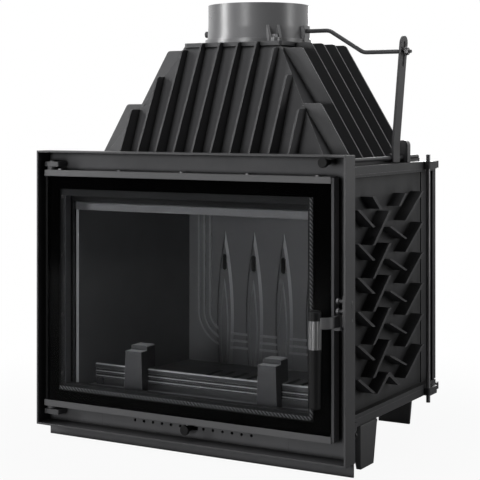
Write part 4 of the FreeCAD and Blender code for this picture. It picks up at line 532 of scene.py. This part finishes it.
# raised tops: flat faces that look to the front between two depths, painted lighter
front_facing = -0.95
raised_tops, given, result = new_group("raised_tops", {"Near": 0.0, "Far": 0.001}, ("Mask",))
place = add_node(raised_tops, "ShaderNodeTexCoord")
spot = add_node(raised_tops, "ShaderNodeSeparateXYZ", Vector=place.outputs["Object"])
turned_to = add_node(raised_tops, "ShaderNodeSeparateXYZ", Vector=place.outputs["Normal"])
top_tests = (
    (spot.outputs["Y"], "GREATER_THAN", given["Near"]),
    (spot.outputs["Y"], "LESS_THAN", given["Far"]),
    (turned_to.outputs["Y"], "LESS_THAN", front_facing),
)
feed(raised_tops, result["Mask"], all_hold(raised_tops, top_tests))

# The flanks of the leaves and beads that face +X are painted lighter as painted highlight, less towards the
# bottom, and the flanks that face -X are painted darker as painted shade.
lining_paint = heat_paint(
    "lining_paint",
    tone=(0.13, 0.13, 0.133),
    worn_and_lit=(0.5, 0.5, 0.505),
    rough=0.4,
    bump=0.15,
    flank=(1.4, 0.0, 0.0),
    fade=(0.1, 0.27),
    lee=(0.04, 0.04, 0.041),
    crest={"Near": 0.1777, "Far": 0.179},
)
dress("back_lining", material=lining_paint)
# Faces of the side linings and baffle that look to the front are painted lighter as painted highlight.
side_lining_paint = heat_paint(
    "side_lining_paint",
    tone=(0.145, 0.145, 0.148),
    worn_and_lit=(0.4, 0.4, 0.405),
    rough=0.42,
    bump=0.15,
    flank=(0.0, -1.0, 0.0),
)
dress("left_lining", "right_lining", "smoke_baffle", material=side_lining_paint, edge=0.0008)

# Hearth plate and grate: ground iron plates in the floor of the fire chamber.
# The grate is slotted so that ash falls into the pan below.
hearth_paint = heat_paint(
    "hearth_paint",
    tone=(0.15, 0.15, 0.153),
    worn_and_lit=(0.17, 0.17, 0.175),
    rough=0.5,
    bump=0.35,
)
dress("hearth_plate", "grate", material=hearth_paint, edge=0.0008)

# Log fence and its two stops: cast bar with a beaded front, and stepped blocks hooked over it.
# Their upper faces are painted lighter as painted highlight, faces turned down are painted darker as painted
# shade, and their grooves carry painted crevice shade.
fence_paint = heat_paint(
    "fence_paint",
    tone=(0.036, 0.036, 0.038),
    worn_and_lit=(0.4, 0.4, 0.405),
    rough=0.38,
    bump=0.12,
    reach=0.0008,
    flank=(0.0, 0.0, 1.0),
    lee=(0.01, 0.01, 0.0102),
    crevice_shade=0.004,
)
dress("log_fence", material=fence_paint)
dress("log_stops", material=fence_paint, edge=0.0006)

# Lintel: a folded strip across the mouth that sends a curtain of air down the glass.
# Ash box and pan: thin folded sheet under the grate, the pan in dull zinc.
lintel_paint = heat_paint(
    "lintel_paint",
    tone=(0.115, 0.115, 0.118),
    worn_and_lit=(0.2, 0.2, 0.205),
    rough=0.4,
    reach=0.0008,
    **sheet_skin,
)
dress("airwash_lintel", material=lintel_paint, edge=0.0004)
dress("ash_box", material=sheet_paint, edge=0.0004)
dress("ash_pan", material=zinc, edge=0.0003)

# Door frame and rails: welded steel ring with a rebate for the pane, and folded strips over two edges.
# Round-headed screws hold the strips and the pane's clips.
# Shade is painted on the rebate behind the pane, the lip beside the hinges is painted nearly black as the
# shade of the flange, and faces turned to +X are painted lighter as painted light.
door_paint = heat_paint(
    "door_paint",
    tone=(0.085, 0.085, 0.088),
    worn_and_lit=sheet_worn_and_lit,
    rough=0.44,
    reach=0.0008,
    shine=0.06,
    flank=(1.0, 0.0, 0.0),
    shade_box={"Half Width": 1.0, "Half Height": 1.0, "Middle Height": 0.3, "Front": -0.2},
    **sheet_skin,
)
# painted shade: the lip beside the hinges, shaded by the flange
lip_limit = -0.306
lip_shade_black = (0.006, 0.006, 0.0062)
tree = door_paint.node_tree
lip_place = add_node(tree, "ShaderNodeTexCoord").outputs["Object"]
lip_spot = add_node(tree, "ShaderNodeSeparateXYZ", Vector=lip_place)
lay_over(door_paint, reckon(tree, "LESS_THAN", lip_spot.outputs["X"], lip_limit), lip_shade_black)
dress("door_frame", material=door_paint, edge=0.0005)
rail_paint = heat_paint(
    "rail_paint",
    tone=(0.09, 0.09, 0.093),
    worn_and_lit=(0.18, 0.18, 0.185),
    rough=0.4,
    reach=0.0006,
    **sheet_skin,
)
dress("door_top_rail", "door_bottom_rail", material=rail_paint, edge=0.0003)
dress("rail_screws", material=zinc)
dress("frame_screws", material=wall_paint)

# Pane: clear ceramic glass, four millimetres thick, lying in the rebate of the door frame.
# It is faintly grey and has the slightly wavy skin of rolled glass.
pane = bpy.data.materials.new("ceramic_glass")
pane.use_nodes = True
tree = pane.node_tree
glass = tree.nodes["Principled BSDF"]
glass.inputs["Base Color"].default_value = (0.93, 0.935, 0.94, 1)
glass.inputs["Metallic"].default_value = 0.0
glass.inputs["Transmission Weight"].default_value = 1.0
glass.inputs["IOR"].default_value = 1.12
wave_place = add_node(tree, "ShaderNodeTexCoord").outputs["Object"]
wave = add_node(tree, "ShaderNodeTexNoise", Vector=wave_place, Scale=9.0, Detail=1.0).outputs[0]
wave_relief = add_node(tree, "ShaderNodeBump", Strength=0.01, Distance=0.0005, Height=wave)
feed(tree, glass.inputs["Normal"], wave_relief.outputs[0])
feed(tree, glass.inputs["Roughness"], spread(tree, wave, 0.0, 1.0, to_low=0.0, to_high=0.004))
glass_ray = add_node(tree, "ShaderNodeLightPath").outputs
lit_through = reckon(tree, "MAXIMUM", glass_ray["Is Shadow Ray"], glass_ray["Is Diffuse Ray"])
clear = add_node(tree, "ShaderNodeBsdfTransparent", Color=(0.86, 0.87, 0.88, 1))
pane_surface = tree.nodes["Material Output"].inputs["Surface"]
feed(tree, pane_surface, mix_shaders(tree, lit_through, glass, clear))
dress("door_glass", material=pane)

# Printed border: black ceramic enamel fired on the back of the pane, hiding frame and screws.
# A thin layer with a straight inner edge, riding on the glass.
pane_low, pane_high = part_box("door_glass")
enamel_front = 0.00003
enamel_back = 0.00015
clear_left = -0.284
clear_right = 0.261
clear_low = 0.092
clear_high = 0.477
margin = 0.0015
outer = [
    (pane_low.x + margin, pane_low.z + margin),
    (pane_high.x - margin, pane_low.z + margin),
    (pane_high.x - margin, pane_high.z - margin),
    (pane_low.x + margin, pane_high.z - margin),
]
inner = [
    (clear_left, clear_low),
    (clear_right, clear_low),
    (clear_right, clear_high),
    (clear_left, clear_high),
]
enamel_points = []
for behind_pane in (enamel_front, enamel_back):
    enamel_points += [(x, pane_high.y + behind_pane, z) for x, z in outer + inner]
inner_front = 4
outer_back = 8
inner_back = 12
enamel_faces = []
for side in range(4):
    ahead = (side + 1) % 4
    enamel_faces.append((side, ahead, inner_front + ahead, inner_front + side))
    enamel_faces.append((outer_back + side, inner_back + side, inner_back + ahead, outer_back + ahead))
    enamel_faces.append((side, outer_back + side, outer_back + ahead, ahead))
    enamel_faces.append((inner_front + side, inner_front + ahead, inner_back + ahead, inner_back + side))
enamel_mesh = bpy.data.meshes.new("printed_border")
enamel_mesh.from_pydata(enamel_points, [], enamel_faces)
printed_border = bpy.data.objects.new("printed_border", enamel_mesh)
scene.collection.objects.link(printed_border)
enamel = clouded_finish(
    "black_enamel",
    dark=(0.001, 0.001, 0.001),
    light=(0.002, 0.002, 0.002),
    dull=0.45,
    glossy=0.6,
    grain=1500.0,
    Specular_IOR_Level=0.0,
)
enamel_mesh.materials.append(enamel)
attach(printed_border, "door_leaf")

# Seal ropes: graphite-treated glass-fibre rope, laid flat behind the pane and in the groove of the door.
# Four strands are twisted together and pressed to the depth of the gap.
rope_step = 0.0018
strand_count = 4
strand_sides = 7
hair = 1e-9


def rope_line(left, right, low, high, depth, turn):
    """Even points along a rounded rectangle in an upright plane, read from a closed spline."""
    corners = [(left, low, 1, 1), (right, low, -1, 1), (right, high, -1, -1), (left, high, 1, -1)]
    route = bpy.data.curves.new("rope_route", "CURVE")
    route.dimensions = "3D"
    spline = route.splines.new("NURBS")
    control = []
    for index, (across, up, sign_x, sign_z) in enumerate(corners):
        beside = (across + sign_x * turn, up)
        above = (across, up + sign_z * turn)
        first, last = (above, beside) if index % 2 == 0 else (beside, above)
        control += [first, (across, up), last]
    spline.points.add(len(control) - 1)
    for point, (across, up) in zip(spline.points, control):
        point.co = (across, depth, up, 1)
    spline.use_cyclic_u = True
    spline.order_u = 3
    spline.resolution_u = 24
    carrier = bpy.data.objects.new("rope_route", route)
    scene.collection.objects.link(carrier)
    bpy.context.view_layer.update()
    line = bpy.data.meshes.new_from_object(carrier)
    spots = [vertex.co.copy() for vertex in line.vertices]
    bpy.data.objects.remove(carrier)
    bpy.data.curves.remove(route)
    bpy.data.meshes.remove(line)
    spots.append(spots[0].copy())
    lengths = [(after - before).length for before, after in zip(spots, spots[1:])]
    count = round(sum(lengths) / rope_step)
    step = sum(lengths) / count
    even = []
    walked = 0.0
    wanted = 0.0
    for before, after, length in zip(spots, spots[1:], lengths):
        while wanted < walked + length - hair and len(even) < count:
            even.append(before.lerp(after, (wanted - walked) / length))
            wanted += step
        walked += length
    return even


def twisted_rope(name, line, half_width, half_depth, lay):
    """Strands that turn about a line and are pressed flat, as one mesh."""
    swing_aside = half_width * 0.52
    swing_deep = half_depth * 0.5
    strand_aside = half_width * 0.42
    strand_deep = half_depth * 0.45
    turns = round(len(line) * rope_step / lay)
    deep = Vector((0, 1, 0))
    points = []
    faces = []
    for strand in range(strand_count):
        start = len(points)
        for index, spot in enumerate(line):
            along = (line[(index + 1) % len(line)] - line[index - 1]).normalized()
            aside = along.cross(deep).normalized()
            angle = 2 * math.pi * (turns * index / len(line) + strand / strand_count)
            centre = spot + aside * (swing_aside * math.cos(angle)) + deep * (swing_deep * math.sin(angle))
            for side in range(strand_sides):
                around = 2 * math.pi * side / strand_sides
                wide = aside * (strand_aside * math.cos(around))
                points.append(centre + wide + deep * (strand_deep * math.sin(around)))
        for index in range(len(line)):
            ring = start + index * strand_sides
            after = start + ((index + 1) % len(line)) * strand_sides
            for side in range(strand_sides):
                ahead = (side + 1) % strand_sides
                faces.append((ring + side, ring + ahead, after + ahead, after + side))
    mesh = bpy.data.meshes.new(name)
    mesh.from_pydata(points, [], faces)
    mesh.shade_smooth()
    made = bpy.data.objects.new(name, mesh)
    scene.collection.objects.link(made)
    return made


rope_fibre = bpy.data.materials.new("graphite_rope")
rope_fibre.use_nodes = True
tree = rope_fibre.node_tree
yarn = tree.nodes["Principled BSDF"]
yarn.inputs["Specular IOR Level"].default_value = 0.1
yarn.inputs["Sheen Weight"].default_value = 0.15
rope_place = add_node(tree, "ShaderNodeTexCoord").outputs["Object"]
fibre_noise = add_node(
    tree,
    "ShaderNodeTexNoise",
    Vector=rope_place,
    Scale=1400.0,
    Detail=3.0,
    Roughness=0.7,
)
fibre = fibre_noise.outputs[0]
lay_lines = add_node(
    tree,
    "ShaderNodeTexWave",
    bands_direction="DIAGONAL",
    Vector=rope_place,
    Scale=85.0,
    Distortion=0.4,
)
# painted highlight: light diagonal bands along the lay of the strands
lay_shine = spread(tree, lay_lines.outputs["Fac"], 0.4, 0.8, smooth=True)
yarn_highlight = reckon(tree, "MULTIPLY", fibre, lay_shine)
rope_tone = mix_colour(tree, yarn_highlight, (0.012, 0.012, 0.0122), (0.3, 0.3, 0.305))
# painted shade: the top and left runs are near black, and only the right and low runs carry the lit yarn
# colour
rope_spot = add_node(tree, "ShaderNodeSeparateXYZ", Vector=rope_place)
lit_right_run = spread(tree, rope_spot.outputs["X"], 0.21, 0.25, smooth=True)
lit_low_run = spread(tree, rope_spot.outputs["Z"], 0.125, 0.105, smooth=True)
lit_runs = reckon(tree, "MAXIMUM", lit_right_run, lit_low_run)
feed(tree, yarn.inputs["Base Color"], mix_colour(tree, lit_runs, (0.009, 0.009, 0.0092), rope_tone))
feed(tree, yarn.inputs["Roughness"], spread(tree, fibre, 0.0, 1.0, to_low=0.85, to_high=0.6))
fibre_relief = add_node(tree, "ShaderNodeBump", Strength=0.5, Distance=0.0003, Height=fibre)
feed(tree, yarn.inputs["Normal"], fibre_relief.outputs[0])

for name, seal, half_width, turn, lay in (
    ("glass_rope", "glass_seal", 0.0038, 0.012, 0.022),
    ("door_rope", "door_seal", 0.0043, 0.01, 0.026),
):
    seal_low, seal_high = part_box(seal)
    line = rope_line(
        left=seal_low.x + half_width,
        right=seal_high.x - half_width,
        low=seal_low.z + half_width,
        high=seal_high.z - half_width,
        depth=(seal_low.y + seal_high.y) / 2,
        turn=turn,
    )
    rope = twisted_rope(name, line, half_width, (seal_high.y - seal_low.y) / 2, lay)
    rope.data.materials.append(rope_fibre)
    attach(rope, "door_leaf")
    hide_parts(seal)

# Hinges: leaves welded to the front plate, knuckles on the door rails, and headed pins through both.
# The pins are bare zinc; leaves and knuckles are painted over.
dress("hinge_brackets", "hinge_knuckles", material=sheet_paint, edge=0.0004)
dress("hinge_pins", material=zinc, edge=0.0004)

# Handle: flat steel arm on a pivot at the door's edge, with a turned grip, a fluted sleeve and a cap.
# Grip and cap are heat-proof black moulding; the sleeve is satin aluminium.
arm_paint = heat_paint(
    "arm_paint",
    tone=(0.11, 0.11, 0.113),
    worn_and_lit=(0.24, 0.24, 0.245),
    rough=0.4,
    reach=0.0006,
    **sheet_skin,
)
dress("handle_arm", material=arm_paint, edge=0.0005)
dress("handle_bracket", material=sheet_paint, edge=0.0004)
grip_plastic = heat_paint(
    "grip_moulding",
    tone=(0.007, 0.007, 0.0074),
    worn_and_lit=(0.014, 0.014, 0.0145),
    rough=0.55,
    grain=1300.0,
    bump=0.12,
    shine=0.2,
)
dress("handle_grip", "handle_cap", material=grip_plastic)
sleeve = clouded_finish(
    "satin_sleeve",
    dark=(0.16, 0.16, 0.163),
    light=(0.22, 0.22, 0.223),
    dull=0.42,
    glossy=0.32,
    grain=700.0,
    Metallic=1.0,
)
dress("handle_sleeve", material=sleeve)

# Latch: a catch plate screwed inside the right flange, with two rollers over the handle's tongue.
# Rollers and screws have the same dull zinc as the other fixings.
dress("latch_catch", material=sheet_paint, edge=0.0004)
dress("latch_roller", "catch_screws", material=zinc)

# Damper gear: a rod through the front plate with a black knob, a flat lever, a cranked shaft and its blade.
# Bent from drawn steel, painted with the body, and held by a nut outside the lever's slot.
gear_paint = heat_paint(
    "gear_paint",
    tone=(0.06, 0.06, 0.063),
    worn_and_lit=(0.2, 0.2, 0.205),
    rough=0.42,
    grain=600.0,
    bump=0.1,
    reach=0.0006,
    shine=0.35,
)
dress("damper_lever", material=gear_paint, edge=0.0004)
dress("control_rod", "damper_shaft", material=gear_paint)
dress("damper_blade", material=gear_paint, edge=0.0003)
dress("crank_nut", material=zinc, edge=0.0003)
dress("control_knob", material=grip_plastic)

# Air control: a drilled slide behind the lower panel, moved by a black knob; the slide is painted near black
# as painted shade seen through the air holes.
# It covers and uncovers the row of air holes.
slide_shade_paint = heat_paint(
    "slide_shade_paint",
    tone=(0.004, 0.004, 0.0042),
    worn_and_lit=(0.01, 0.01, 0.0102),
    rough=0.5,
    shine=0.05,
    **sheet_skin,
)
dress("air_slider", material=slide_shade_paint)
dress("air_knob", material=grip_plastic)
